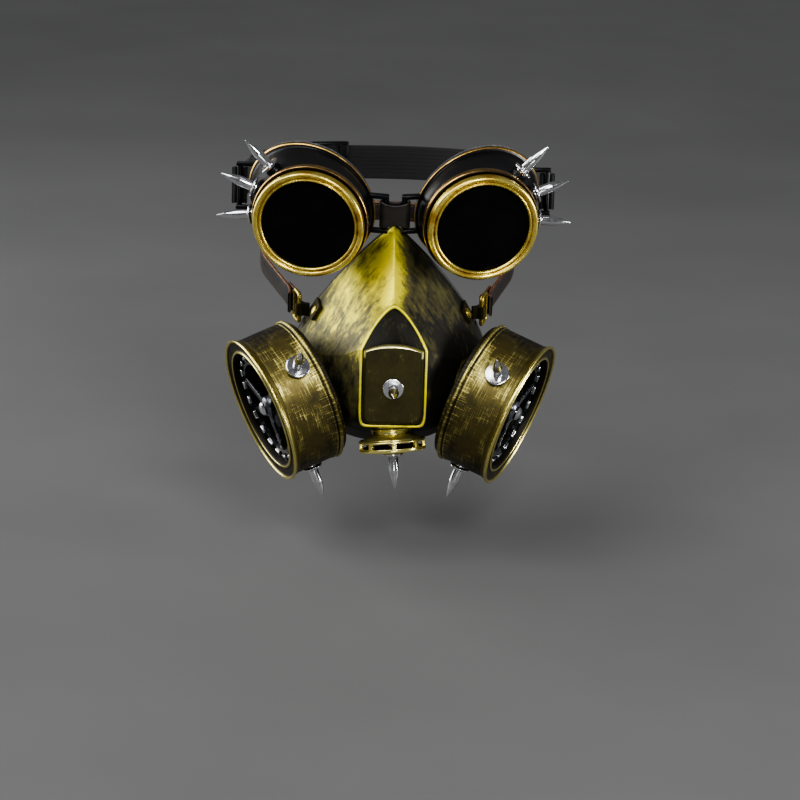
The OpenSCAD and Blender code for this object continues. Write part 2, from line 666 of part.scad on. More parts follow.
// The tab is a plate on the cheek, with an arm out to a knuckle round the ring's inner bar.
function shell_at(t, a) = half_point(smooth(shell_rows[0], shell_rows[0], shell_rows[1], shell_rows[2], t), a);
tab_t = 0.52;
tab_a = 62;
tab_along = shell_at(tab_t + 0.01, tab_a) - shell_at(tab_t, tab_a);
tab_out = unit(cross(tab_along, shell_at(tab_t, tab_a + 0.5) - shell_at(tab_t, tab_a)));
tab_at = shell_at(tab_t, tab_a) + eps * tab_out;
tab_plate_t = 1.8;
tab_rivet_x = 5;
rivet_r = 1.6;
module strap_tab(left) {
    color(dark_brass) side(left) difference() {
        union() {
            place(tab_at, tab_out, tab_along) translate([-4, -4.5, 0]) cube([13, 9, tab_plate_t]);
            on_mask_strap() translate([ring_inner.x, ring_inner.y, 0]) {
                translate([0, 0, -3.5]) cylinder(r = wire_r + 1.5, h = 7);
                rotate(tab_arm_turn) translate([0, -1.3, -3.5]) cube([tab_arm, 2.6, 7]);
            }
        }
        on_mask_strap() translate([ring_inner.x, ring_inner.y, -12]) cylinder(r = wire_r + 0.08, h = 24);
        place(tab_at, tab_out, tab_along) translate([tab_rivet_x, 0, -6]) cylinder(r = rivet_r, h = 12);
    }
}
tab_arm = 5.4;
tab_arm_turn = 196;
module strap_tab_rivets() {
    color(brass) for (left = [true, false]) side(left) place(tab_at, tab_out, tab_along)
        translate([tab_rivet_x, 0, 0]) {
            translate([0, 0, -shell_t - 1.3]) cylinder(r = rivet_r - 0.02, h = shell_t + 1.3 + tab_plate_t);
            translate([0, 0, tab_plate_t + 0.02]) rotate_extrude() polygon([
                [0, -0.5], [rivet_r, -0.5], [rivet_r, 0], [3, 0], [2.6, 0.8], [1.4, 1.3], [0, 1.4]
            ]);
            translate([0, 0, -shell_t - 2]) cylinder(r = 2.4, h = 0.9);
        }
}

// The bridge is a leather band sewn round the two nose-side bars.
module nose_bridge() {
    bar = goggle_point(bridge_bar);
    color(black) translate([0, bar.y, bar.z]) rotate([goggle_down, 0, 0])
        translate([0, 0, -7]) linear_extrude(14) difference() {
            hull_plan(bar.x, eye_r + 1.4);
            hull_plan(bar.x, eye_r);
        }
}
module hull_plan(x, r) {
    for (s = [-1, 1]) translate([s * x, 0]) circle(r = r);
    translate([-x, -r]) square([2 * x, 2 * r]);
}
// Where a point of the left goggle's frame is.
function goggle_point(p) =
    let (z = unit(goggle_axis), x = unit([1, 0, 0] - ([1, 0, 0] * z) * z), y = cross(z, x))
        goggle_at + p.x * x + p.y * y + p.z * z;

face_shell();
face_cushion();
snout_plate();
snout_spike();
snout_spike_screw();
exhaust_seat();
exhaust_flap();
exhaust_cage();
exhaust_spike();
exhaust_spike_screw();
port_sleeve(true);  // left_port_sleeve
port_sleeve(false);  // right_port_sleeve
strap_tab(true);  // left_strap_tab
strap_tab(false);  // right_strap_tab
strap_tab_rivets();
strap_ring(true);  // left_strap_ring
strap_ring(false);  // right_strap_ring
mask_strap();
mask_strap_slider();
drum(true);  // left_drum
bezel(true);  // left_bezel
grille(true);  // left_grille
fan(true);  // left_fan
fan_axle(true);  // left_fan_axle
filter_pad(true);  // left_filter_pad
drum_spikes(true);  // left_drum_spikes
drum_spike_screws(true);  // left_drum_spike_screws
drum(false);  // right_drum
bezel(false);  // right_bezel
grille(false);  // right_grille
fan(false);  // right_fan
fan_axle(false);  // right_fan_axle
filter_pad(false);  // right_filter_pad
drum_spikes(false);  // right_drum_spikes
drum_spike_screws(false);  // right_drum_spike_screws
eyecup(true);  // left_eyecup
eye_cushion(true);  // left_eye_cushion
clamp_ring(true);  // left_clamp_ring
lens(true);  // left_lens
lens_ring(true);  // left_lens_ring
goggle_spikes(true);  // left_goggle_spikes
goggle_spike_screws(true);  // left_goggle_spike_screws
eyecup(false);  // right_eyecup
eye_cushion(false);  // right_eye_cushion
clamp_ring(false);  // right_clamp_ring
lens(false);  // right_lens
lens_ring(false);  // right_lens_ring
goggle_spikes(false);  // right_goggle_spikes
goggle_spike_screws(false);  // right_goggle_spike_screws
nose_bridge();
goggle_strap();
goggle_strap_slider();
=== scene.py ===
"""The finished look of the spiked respirator mask and goggles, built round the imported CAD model.

Shapes are worked out in millimetres in the CAD model's own frame: +X is the wearer's left, +Y the back of
the head and +Z up. add_piece() turns them into metres. A right-hand piece is its left-hand twin, mirrored.
"""
import json
import math

import bmesh
import bpy
from mathutils import Matrix, Vector


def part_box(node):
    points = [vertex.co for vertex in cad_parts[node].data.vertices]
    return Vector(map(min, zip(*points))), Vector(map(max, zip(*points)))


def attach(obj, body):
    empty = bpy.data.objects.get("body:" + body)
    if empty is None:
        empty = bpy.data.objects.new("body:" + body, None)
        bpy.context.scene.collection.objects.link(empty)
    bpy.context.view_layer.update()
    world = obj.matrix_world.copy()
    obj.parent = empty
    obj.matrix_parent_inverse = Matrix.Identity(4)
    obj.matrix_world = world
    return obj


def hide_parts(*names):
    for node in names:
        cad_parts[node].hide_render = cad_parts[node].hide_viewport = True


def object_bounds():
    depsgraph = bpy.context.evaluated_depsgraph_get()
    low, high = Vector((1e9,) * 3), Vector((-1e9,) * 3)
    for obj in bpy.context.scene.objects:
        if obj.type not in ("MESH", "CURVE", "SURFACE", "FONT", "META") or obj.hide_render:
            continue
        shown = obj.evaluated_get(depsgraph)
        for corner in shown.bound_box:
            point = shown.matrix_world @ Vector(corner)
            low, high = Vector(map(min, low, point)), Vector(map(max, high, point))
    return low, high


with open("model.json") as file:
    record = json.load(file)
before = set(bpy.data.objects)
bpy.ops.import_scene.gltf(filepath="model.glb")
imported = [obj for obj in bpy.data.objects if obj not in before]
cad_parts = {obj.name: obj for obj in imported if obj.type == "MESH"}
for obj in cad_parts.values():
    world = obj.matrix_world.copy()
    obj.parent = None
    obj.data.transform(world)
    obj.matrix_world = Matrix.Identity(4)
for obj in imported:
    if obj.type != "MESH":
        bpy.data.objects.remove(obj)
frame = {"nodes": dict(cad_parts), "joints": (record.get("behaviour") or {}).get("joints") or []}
cad_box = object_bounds()
scene = bpy.context.scene
scene.view_settings.look = "AgX - Medium High Contrast"
joints = {j["name"]: j for j in frame["joints"]}
MM = 0.001
SAME_POINT = 1e-7
TAU = 2 * math.pi
FRONT = Vector((0, -1, 0))
LEFTWARD = Vector((1, 0, 0))
DRUM_R = 39


# ---------- frames ----------
def place(at, axis, toward):
    """A frame at a point, with Z along axis and X as near to toward as it goes."""
    z = Vector(axis).normalized()
    x = (Vector(toward) - Vector(toward).dot(z) * z).normalized()
    y = z.cross(x)
    return Matrix.Translation(at) @ Matrix((x, y, z)).transposed().to_4x4()


def joint_frame(name, toward):
    """A frame on a joint's axis, in millimetres."""
    joint = joints[name]
    return place(Vector(joint["pos_m"]) / MM, joint["axis"], toward)


CANISTER = joint_frame("left_fan_spin", FRONT)
GOGGLE = joint_frame("left_lens_ring_turn", LEFTWARD)
VALVE = joint_frame("exhaust_cage_twist", FRONT)
MASK_STRAP = joint_frame("mask_slider_slide", LEFTWARD)
GOGGLE_STRAP = joint_frame("goggle_slider_slide", LEFTWARD)
snout_front_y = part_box("snout_plate")[0].y / MM


def turned(degrees, axis="Z"):
    return Matrix.Rotation(math.radians(degrees), 4, axis)


def moved(x, y, z):
    return Matrix.Translation((x, y, z))


# ---------- shapes ----------
class Shape:
    """Points in millimetres and faces. Each point keeps its place in the local frame, which textures follow,
    and a tone: above 0 where paint is rubbed bright, below 0 where it stays dark. On some pieces the tone
    also holds painted highlights and painted shade."""

    def __init__(self):
        self.points, self.faces, self.local, self.tone = [], [], [], []

    def add(self, points, faces, to=Matrix.Identity(4), tone=0.0, local=None):
        first = len(self.points)
        points = [Vector(p) for p in points]
        self.points += [to @ p for p in points]
        self.local += [Vector(p) for p in (local or points)]
        self.tone += [tone(p) if callable(tone) else tone for p in points]
        self.faces += [tuple(first + i for i in face) for face in faces]
        return self

    def mirrored(self):
        other = Shape()
        other.points = [Vector((-p.x, p.y, p.z)) for p in self.points]
        other.faces = [tuple(reversed(face)) for face in self.faces]
        other.local, other.tone = self.local, self.tone
        return other


def new_mesh(name, points, faces, scale=1):
    """A mesh from points in millimetres."""
    mesh = bpy.data.meshes.new(name)
    mesh.from_pydata([p * MM * scale for p in points], [], faces)
    return mesh


def new_object(name, data):
    made = bpy.data.objects.new(name, data)
    scene.collection.objects.link(made)
    return made


def clean(mesh, sharp=None):
    """Joins doubled points and turns faces outwards. Given an angle, smooths all but sharper edges."""
    work = bmesh.new()
    work.from_mesh(mesh)
    bmesh.ops.remove_doubles(work, verts=work.verts, dist=SAME_POINT)
    bmesh.ops.dissolve_degenerate(work, edges=work.edges, dist=SAME_POINT)
    bmesh.ops.recalc_face_normals(work, faces=work.faces)
    if sharp is not None:
        for face in work.faces:
            face.smooth = True
        for edge in work.edges:
            edge.smooth = len(edge.link_faces) < 2 or edge.calc_face_angle(0) < math.radians(sharp)
    work.to_mesh(mesh)
    work.free()


def taken(work):
    """The points and faces of a bmesh, which is then freed."""
    work.verts.index_update()
    points = [v.co.copy() for v in work.verts]
    faces = [tuple(v.index for v in f.verts) for f in work.faces]
    work.free()
    return points, faces


def evaluated(piece):
    """A copy of a piece's mesh, with its modifiers applied."""
    depsgraph = bpy.context.evaluated_depsgraph_get()
    return bpy.data.meshes.new_from_object(piece.evaluated_get(depsgraph))


def add_piece(name, shape, material, body, replaces=(), sharp=38):
    """Makes an object of a shape, smooth but for edges sharper than the angle, parents it to its body's empty
    and hides the CAD parts it replaces.
    """
    mesh = new_mesh(name, shape.points, shape.faces)
    local = mesh.attributes.new("local", "FLOAT_VECTOR", "POINT")
    local.data.foreach_set("vector", [c for p in shape.local for c in p])
    tone = mesh.attributes.new("tone", "FLOAT", "POINT")
    tone.data.foreach_set("value", shape.tone)
    clean(mesh, sharp)
    piece = new_object(name, mesh)
    mesh.materials.append(material)
    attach(piece, body)
    if replaces:
        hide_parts(*replaces)
    return piece


def add_pair(name, shape, material, body, nodes=(), sharp=38):
    """A left piece and its mirror image. In body and nodes, SIDE stands for left or right."""
    made = []
    for side, twin in (("left", shape), ("right", shape.mirrored())):
        made.append(add_piece(
            f"{side}_{name}", twin, material, body.replace("SIDE", side),
            [n.replace("SIDE", side) for n in nodes], sharp))
    return made


def fillet(profile, radius, closed=True, steps=3):
    """Rounds the corners of a profile."""
    out = []
    last = len(profile) - 1
    for i, corner in enumerate(profile):
        here = Vector(corner)
        if not closed and i in (0, last):
            out.append(here)
            continue
        before, after = Vector(profile[i - 1]), Vector(profile[(i + 1) % len(profile)])
        reach = min(radius, 0.45 * (before - here).length, 0.45 * (after - here).length)
        start = here + (before - here).normalized() * reach
        end = here + (after - here).normalized() * reach
        for k in range(steps + 1):
            t = k / steps
            out.append(start.lerp(here, t).lerp(here.lerp(end, t), t))
    return out


def lathe(profile, segments=96, closed=True):
    """Turns a profile of (radius, height) about Z."""
    points, faces = [], []
    for r, z in profile:
        for k in range(segments):
            points.append((r * math.cos(TAU * k / segments), r * math.sin(TAU * k / segments), z))
    for i in range(len(profile) if closed else len(profile) - 1):
        j = (i + 1) % len(profile)
        for k in range(segments):
            m = (k + 1) % segments
            faces.append((i * segments + k, i * segments + m, j * segments + m, j * segments + k))
    return points, faces


def loft(loops, closed=False, caps=True):
    """A skin over loops of points. Closed joins the last loop to the first, and caps closes the two ends."""
    n = len(loops[0])
    points = [p for loop in loops for p in loop]
    faces = []
    for i in range(len(loops) if closed else len(loops) - 1):
        j = (i + 1) % len(loops)
        for k in range(n):
            m = (k + 1) % n
            faces.append((i * n + k, i * n + m, j * n + m, j * n + k))
    if caps and not closed:
        faces.append(tuple(reversed(range(n))))
        faces.append(tuple(range(len(points) - n, len(points))))
    return points, faces


def rounded_box(size, radius, cuts=0):
    """A box about the origin with rounded edges, cut across its length in X."""
    work = bmesh.new()
    bmesh.ops.create_cube(work, size=1)
    bmesh.ops.scale(work, vec=size, verts=work.verts)
    bmesh.ops.bevel(work, geom=list(work.edges), offset=radius, segments=3, profile=0.5, affect="EDGES")
    for k in range(cuts):
        x = size[0] * ((k + 1) / (cuts + 1) - 0.5)
        everything = list(work.verts) + list(work.edges) + list(work.faces)
        bmesh.ops.bisect_plane(work, geom=everything, plane_co=(x, 0, 0), plane_no=(1, 0, 0))
    return taken(work)


# ---------- materials ----------
class Paint:
    """A material, with short calls for the nodes that the looks share."""

    def __init__(self, name, metallic=0.0, roughness=0.5, coords="local", **sockets):
        self.material = bpy.data.materials.new(name)
        self.material.use_nodes = True
        self.tree = self.material.node_tree
        self.shader = self.tree.nodes["Principled BSDF"]
        self.coords = coords
        self.set(Metallic=metallic, Roughness=roughness)
        self.set(**sockets)

    def join(self, value, socket):
        if isinstance(value, bpy.types.NodeSocket):
            self.tree.links.new(value, socket)
        else:
            socket.default_value = value

    def set(self, **values):
        for key, value in values.items():
            self.join(value, self.shader.inputs[key.replace("_", " ")])
        return self

    def node(self, kind, inputs, **settings):
        node = self.tree.nodes.new("ShaderNode" + kind)
        for key, value in settings.items():
            setattr(node, key, value)
        for key, value in inputs.items():
            self.join(value, node.inputs[key])
        return node

    def where(self, stretch, source=None):
        """The point's place in millimetres, times stretch: three numbers, or one for all."""
        scale = stretch if hasattr(stretch, "__len__") else [stretch] * 3
        if source is None and self.coords == "local":
            source = self.node("Attribute", {}, attribute_name="local").outputs["Vector"]
        elif source is None:
            source = self.node("TexCoord", {}).outputs["Object"]
            scale = [s / MM for s in scale]
        return self.node("VectorMath", {0: source, 1: scale}, operation="MULTIPLY").outputs[0]

    def noise(self, stretch, detail=3, roughness=0.6, source=None):
        inputs = {"Vector": self.where(stretch, source), "Scale": 1, "Detail": detail, "Roughness": roughness}
        return self.node("TexNoise", inputs).outputs["Fac"]

    def unrolled(self):
        """The point's place on a drum, unrolled flat: X round it and Y along its axis, in millimetres."""
        parts = self.node("SeparateXYZ", {0: self.where(1)})
        round_it = self.math("MULTIPLY", self.math("ARCTAN2", parts.outputs["Y"], parts.outputs["X"]), DRUM_R)
        return self.node("CombineXYZ", {0: round_it, 1: parts.outputs["Z"]}).outputs[0]

    def tilted(self, degrees):
        """The point's place turned about Y, the same way on both sides of the nose."""
        parts = self.node("SeparateXYZ", {0: self.where(1)})
        x, y, z = (parts.outputs[axis] for axis in "XYZ")
        folded = self.node("CombineXYZ", {0: self.math("ABSOLUTE", x), 1: y, 2: z}).outputs[0]
        return self.node("VectorRotate", {"Vector": folded, "Angle": math.radians(degrees)},
                         rotation_type="Y_AXIS").outputs[0]

    def cells(self, stretch, feature="F1", jitter=1.0):
        inputs = {"Vector": self.where(stretch), "Scale": 1, "Randomness": jitter}
        return self.node("TexVoronoi", inputs, feature=feature).outputs["Distance"]

    def tone(self):
        return self.node("Attribute", {}, attribute_name="tone").outputs["Fac"]

    def math(self, operation, a, b=0.0, clamp=False):
        return self.node("Math", {0: a, 1: b}, operation=operation, use_clamp=clamp).outputs[0]

    def plus(self, level, value, share, clamp=False):
        """level plus a share of value."""
        return self.math("ADD", level, self.math("MULTIPLY", value, share), clamp)

    def total(self, start, *terms):
        """start plus each (value, share), where a value of 0.5 changes nothing."""
        level = start
        for value, share in terms:
            level = self.plus(level, self.math("SUBTRACT", value, 0.5), share)
        return self.math("ADD", level, 0, clamp=True)

    def ramp(self, value, *stops):
        """Colours or grey levels at places from 0 to 1."""
        node = self.node("ValToRGB", {"Fac": value})
        marks = node.color_ramp.elements
        while len(marks) < len(stops):
            marks.new(0.5)
        for mark, (at, color) in zip(marks, stops):
            mark.position = at
            mark.color = (*color, 1) if hasattr(color, "__len__") else (color, color, color, 1)
        return node.outputs["Color"]

    def band(self, value, low, high):
        """0 below low, 1 above high."""
        return self.node("MapRange", {"Value": value, "From Min": low, "From Max": high}).outputs["Result"]

    def bump(self, height, depth_mm, strength=1.0):
        bump = self.node("Bump", {"Height": height, "Distance": depth_mm * MM, "Strength": strength})
        return self.set(Normal=bump.outputs["Normal"])


def rubbed_metal(name, colors, start, terms, rough=(0.55, 0.3), metallic=0.5, tone_share=0.5,
                 depth=0.06, coords="local", rubbed_metallic=1.0):
    """Black-primed metal paint: dark in the hollows and brushed bright where it is rubbed, with the painted
    highlights and shade that a piece's tone carries laid on top.
    terms lists the noises that rub it: (stretch, share)."""
    paint = Paint(name, coords=coords)
    noises = [(paint.noise(stretch, detail), share) for stretch, detail, share in terms]
    level = paint.total(start, *noises)
    if coords == "local":
        level = paint.plus(level, paint.tone(), tone_share)
    finish_paint(paint, level, colors, rough, metallic, rubbed_metallic)
    height = noises[0][0]
    for value, _ in noises[1:]:
        height = paint.math("ADD", height, value)
    return paint.bump(height, depth, 0.6).material


OLIVE_GOLD = ((0.010, 0.008, 0.003), (0.145, 0.118, 0.038), (0.86, 0.76, 0.26))
ANTIQUE_GOLD = ((0.05, 0.018, 0.003), (0.54, 0.34, 0.05), (0.99, 0.83, 0.22))
SHELL_OLIVE = ((0.010, 0.009, 0.005), (0.15, 0.134, 0.048), (0.94, 0.83, 0.05))
BRIGHT_GOLD = ((0.05, 0.035, 0.008), (0.56, 0.43, 0.09), (0.99, 0.90, 0.33))
DARK_OLIVE = ((0.008, 0.007, 0.003), (0.076, 0.067, 0.026), (0.97, 0.88, 0.45))
BRONZE = ((0.01, 0.006, 0.003), (0.05, 0.032, 0.016), (0.66, 0.42, 0.16))


def finish_paint(paint, level, colors, rough, metallic, rubbed_metallic=1.0):
    """Colour, metal and gloss from a level of 0 to 1: how far the paint is rubbed down, with any painted
    highlight and shade from the tone added in.
    """
    level = paint.math("ADD", level, 0, clamp=True)
    dark, middle, bright = colors
    return paint.set(
        Base_Color=paint.ramp(level, (0.08, dark), (0.5, middle), (0.92, bright)),
        Metallic=paint.ramp(level, (0.1, metallic), (0.5, rubbed_metallic)),
        Roughness=paint.ramp(level, (0.1, rough[0]), (0.9, rough[1])))


def shell_gold():
    """Brushed down and outwards from the nose, with cloudy patches and fine scratches."""
    paint = Paint("shell_gold")
    along = paint.tilted(33)
    strokes = paint.noise((1.1, 0.35, 0.09), 5, source=along)
    scratches = paint.ramp(paint.noise((3.6, 0.8, 0.07), 2, source=along), (0.60, 0.0), (0.66, 1.0))
    clouds = paint.noise(0.055, 4)
    blotches = paint.noise((0.17, 0.17, 0.11), 4, 0.65)
    level = paint.total(0.60, (strokes, 0.6), (clouds, 1.0), (blotches, 1.1))
    level = paint.plus(level, scratches, 0.12)
    # The tone adds the rubbed ridge, the painted highlight beside the nose and the painted shade on the
    # shell.
    level = paint.plus(level, paint.tone(), 0.5)
    finish_paint(paint, level, SHELL_OLIVE, (0.55, 0.42), 0.3, 0.62)
    return paint.bump(paint.math("ADD", strokes, scratches), 0.05, 0.5).material


def drum_gold():
    """Dark olive with bright scratches: hatched both ways in patches, and short ticks from the rear bead."""
    paint = Paint("drum_gold")
    flat = paint.unrolled()
    parts = paint.node("SeparateXYZ", {0: flat})
    patches = paint.band(paint.noise((0.06, 0.09, 0), 2, source=flat), 0.40, 0.55)
    around = paint.ramp(paint.noise((0.045, 1.9, 0), 2, source=flat), (0.56, 0.0), (0.60, 1.0))
    across = paint.ramp(paint.noise((1.7, 0.07, 0), 2, source=flat), (0.57, 0.0), (0.61, 1.0))
    hatch = paint.math("MULTIPLY", paint.plus(around, across, 0.7), patches)
    reach = paint.plus(2.0, paint.noise((0.9, 0, 0), 1, source=flat), 9.0)
    near_bead = paint.math("LESS_THAN", parts.outputs["Y"], reach)
    ticks = paint.ramp(paint.noise((0.95, 0.02, 0), 2, source=flat), (0.54, 0.0), (0.59, 1.0))
    ticks = paint.math("MULTIPLY", ticks, near_bead)
    clouds = paint.noise((0.035, 0.05, 0), 4, source=flat)
    grain = paint.noise((1.2, 1.2, 0), 3, source=flat)
    dabs = paint.noise((0.16, 0.16, 0), 4, 0.65, source=flat)
    level = paint.total(0.33, (clouds, 1.1), (dabs, 0.7), (grain, 0.2))
    level = paint.plus(level, paint.math("ADD", hatch, ticks), 0.34)
    # The tone adds the rubbed beads, the painted shade above and below the drum and the painted highlight
    # round the front spike.
    level = paint.plus(level, paint.tone(), 0.5)
    finish_paint(paint, level, OLIVE_GOLD, (0.52, 0.30), 0.5)
    return paint.bump(paint.math("ADD", hatch, ticks), 0.10, 0.6).material


def ring_gold():
    return rubbed_metal("ring_gold", ANTIQUE_GOLD, 0.68, [
        (0.09, 3, 1.5), ((0.5, 0.5, 3.0), 3, 0.55), (2.2, 3, 0.3)],
        rough=(0.45, 0.24), metallic=0.6, tone_share=0.5, depth=0.05, rubbed_metallic=0.93)


def valve_gold(name="valve_gold", coords="local"):
    return rubbed_metal(name, BRIGHT_GOLD, 0.78 if coords == "local" else 0.5, [
        (0.2, 3, 0.9), ((0.4, 0.4, 3.0), 3, 0.5)],
        rough=(0.36, 0.2), metallic=0.7, depth=0.03, coords=coords, rubbed_metallic=0.92)


def bezel_gold():
    return rubbed_metal("bezel_gold", OLIVE_GOLD, 0.42, [
        (0.10, 3, 0.5), (0.6, 3, 0.3), (2.5, 2, 0.15)],
        rough=(0.5, 0.24), tone_share=0.6, depth=0.04)


def dark_metal(name="dark_metal", coords="local"):
    return rubbed_metal(name, DARK_OLIVE, 0.40, [
        (0.08, 3, 0.6), ((1.2, 1.2, 0.3), 3, 0.35), (3, 2, 0.15)],
        rough=(0.5, 0.28), metallic=0.6, tone_share=0.6, depth=0.03, coords=coords)


def clamp_bronze():
    return rubbed_metal("clamp_bronze", BRONZE, 0.42, [
        (0.12, 3, 0.8), (1.5, 3, 0.3)],
        rough=(0.5, 0.25), tone_share=0.6, depth=0.03)


def cup_black():
    """Moulded black plastic, rubbed to copper along its rear edge."""
    paint = Paint("cup_black", Specular_IOR_Level=0.25, Coat_Weight=0.08, Coat_Roughness=0.15)
    clouds = paint.noise(0.15, 4)
    scuffs = paint.noise((0.5, 0.5, 2.5), 4, 0.7)
    level = paint.total(0.12, (clouds, 0.25), (scuffs, 0.35))
    level = paint.plus(level, paint.tone(), 0.85, clamp=True)
    paint.set(
        Base_Color=paint.ramp(level, (0.2, (0.003, 0.003, 0.004)), (0.55, (0.10, 0.05, 0.02)),
                                 (0.9, (0.85, 0.56, 0.16))),
        Metallic=paint.ramp(level, (0.35, 0.0), (0.6, 1.0)),
        Roughness=paint.ramp(scuffs, (0.3, 0.26), (0.7, 0.42)))
    return paint.bump(paint.math("ADD", scuffs, paint.noise(4, 2)), 0.03, 0.5).material


def chrome(name="chrome", coords="local"):
    paint = Paint(name, metallic=1.0, coords=coords)
    smears = paint.noise(0.35, 4)
    turned_lines = paint.noise((0.3, 0.3, 6.0), 2)
    paint.set(
        Base_Color=paint.ramp(smears, (0.25, (0.60, 0.60, 0.61)), (0.7, (0.86, 0.86, 0.88))),
        Roughness=paint.ramp(smears, (0.3, 0.07), (0.75, 0.20)))
    return paint.bump(turned_lines, 0.01, 0.35).material


def rubber():
    paint = Paint("rubber")
    grain = paint.noise(5, 3)
    dust = paint.noise(0.12, 4)
    paint.set(
        Base_Color=paint.ramp(dust, (0.3, 0.018), (0.8, 0.018 * 2.4)),
        Roughness=paint.ramp(dust, (0.3, 0.48), (0.8, 0.72)))
    return paint.bump(grain, 0.05, 0.5).material


def foam_cloth():
    """Knitted cloth over foam."""
    paint = Paint("foam_cloth", roughness=0.9, Sheen_Weight=0.35, Sheen_Roughness=0.5)
    knit = paint.cells(2.2, jitter=0.25)
    fuzz = paint.noise(6, 3)
    wear = paint.noise(0.15, 3)
    shade = paint.total(0.4, (knit, 0.5), (fuzz, 0.4), (wear, 0.5))
    paint.set(Base_Color=paint.ramp(shade, (0.1, 0.006), (0.9, 0.045)))
    return paint.bump(paint.plus(knit, fuzz, 0.5), 0.18, 0.8).material


def filter_cloth():
    paint = Paint("filter_cloth", roughness=0.95)
    fibres = paint.noise((1.5, 5, 1.5), 4, 0.7)
    paint.set(Base_Color=paint.ramp(fibres, (0.2, 0.010), (0.8, 0.05)))
    return paint.bump(fibres, 0.15, 0.7).material


def leather():
    """Black leather with a fine grain, and edges dyed and rubbed to copper."""
    paint = Paint("strap_leather", Specular_IOR_Level=0.45)
    pores = paint.cells(1.3)
    creases = paint.cells((0.45, 0.9, 0.45), feature="DISTANCE_TO_EDGE")
    clouds = paint.noise((0.06, 0.12, 0.12), 4)
    rub = paint.noise((0.25, 1.2, 0.8), 4, 0.7)
    edge = paint.math("MULTIPLY", paint.tone(), paint.ramp(rub, (0.3, 0.25), (0.62, 1.0)), clamp=True)
    body = paint.ramp(clouds, (0.3, (0.008, 0.007, 0.007)), (0.8, (0.030, 0.025, 0.022)))
    copper = paint.ramp(rub, (0.3, (0.10, 0.035, 0.015)), (0.7, (0.52, 0.23, 0.09)))
    paint.set(
        Base_Color=paint.node("Mix", {0: edge, 6: body, 7: copper}, data_type="RGBA").outputs[2],
        Metallic=paint.math("MULTIPLY", edge, 0.7),
        Roughness=paint.ramp(clouds, (0.3, 0.38), (0.8, 0.58)))
    relief = paint.plus(pores, paint.ramp(creases, (0.0, 0.0), (0.12, 1.0)), 0.6)
    return paint.bump(relief, 0.10, 0.6).material


def webbing():
    """Woven elastic: fine ribs across and warp threads along."""
    paint = Paint("webbing", roughness=0.85, Sheen_Weight=0.1, Sheen_Roughness=0.4)
    parts = paint.node("SeparateXYZ", {0: paint.where(1)})
    weft = paint.math("SINE", paint.math("MULTIPLY", parts.outputs["X"], 5.2))
    warp = paint.math("SINE", paint.math("MULTIPLY", parts.outputs["Z"], 8.5))
    weave = paint.math("MULTIPLY", weft, warp)
    fuzz = paint.noise(3, 4)
    shade = paint.total(0.4, (paint.math("ADD", paint.math("MULTIPLY", weave, 0.5), 0.5), 0.5), (fuzz, 0.4))
    paint.set(Base_Color=paint.ramp(shade, (0.1, 0.003), (0.9, 0.022)))
    return paint.bump(paint.math("ADD", weave, fuzz), 0.12, 0.7).material


def thread():
    paint = Paint("thread", roughness=0.7)
    twist = paint.noise(1.5, 3)
    paint.set(Base_Color=paint.ramp(twist, (0.2, (0.05, 0.022, 0.012)), (0.8, (0.20, 0.09, 0.04))))
    return paint.bump(twist, 0.05, 0.6).material


def dark_glass():
    paint = Paint("dark_glass", Specular_IOR_Level=0.06)
    film = paint.noise(0.08, 4)
    paint.set(
        Base_Color=paint.ramp(film, (0.2, (0.002, 0.002, 0.003)), (0.9, (0.006, 0.006, 0.007))),
        Roughness=paint.ramp(film, (0.3, 0.06), (0.8, 0.16)))
    return paint.bump(film, 0.02, 0.1).material


def gun_black():
    """Glossy black enamel over metal, for what is inside a canister."""
    paint = Paint("gun_black", Coat_Weight=0.25, Coat_Roughness=0.15)
    clouds = paint.noise(0.3, 4)
    level = paint.plus(clouds, paint.tone(), 0.9, clamp=True)
    paint.set(
        Base_Color=paint.ramp(level, (0.5, (0.010, 0.011, 0.014)), (1.0, (0.42, 0.44, 0.50))),
        Metallic=paint.ramp(level, (0.4, 0.3), (0.8, 1.0)),
        Roughness=paint.ramp(clouds, (0.3, 0.18), (0.8, 0.36)))
    return paint.bump(paint.noise(2, 3), 0.02, 0.4).material


def floor_paint():
    paint = Paint("floor_paint", roughness=0.7, coords="object")
    clouds = paint.noise(0.004, 3)
    paint.set(Base_Color=paint.ramp(clouds, (0.3, 0.105), (0.7, 0.12)))
    return paint.material


SHELL_GOLD, DRUM_GOLD, RING_GOLD, VALVE_GOLD = shell_gold(), drum_gold(), ring_gold(), valve_gold()
BEZEL_GOLD, DARK_METAL, CLAMP_BRONZE, CUP_BLACK = bezel_gold(), dark_metal(), clamp_bronze(), cup_black()
CHROME, RUBBER, FOAM_CLOTH, FILTER_CLOTH = chrome(), rubber(), foam_cloth(), filter_cloth()
STRAP_LEATHER, WEBBING, THREAD = leather(), webbing(), thread()
DARK_GLASS, GUN_BLACK = dark_glass(), gun_black()
CAD_CHROME, CAD_GOLD = chrome("cad_chrome", "object"), valve_gold("cad_gold", "object")
CAD_DARK = dark_metal("cad_dark", "object")


# ---------- mask shell ----------
SHELL_T = 2.4
SPRING_Z = 20
SNOUT_W = 18
SNOUT_BOTTOM = -22.5
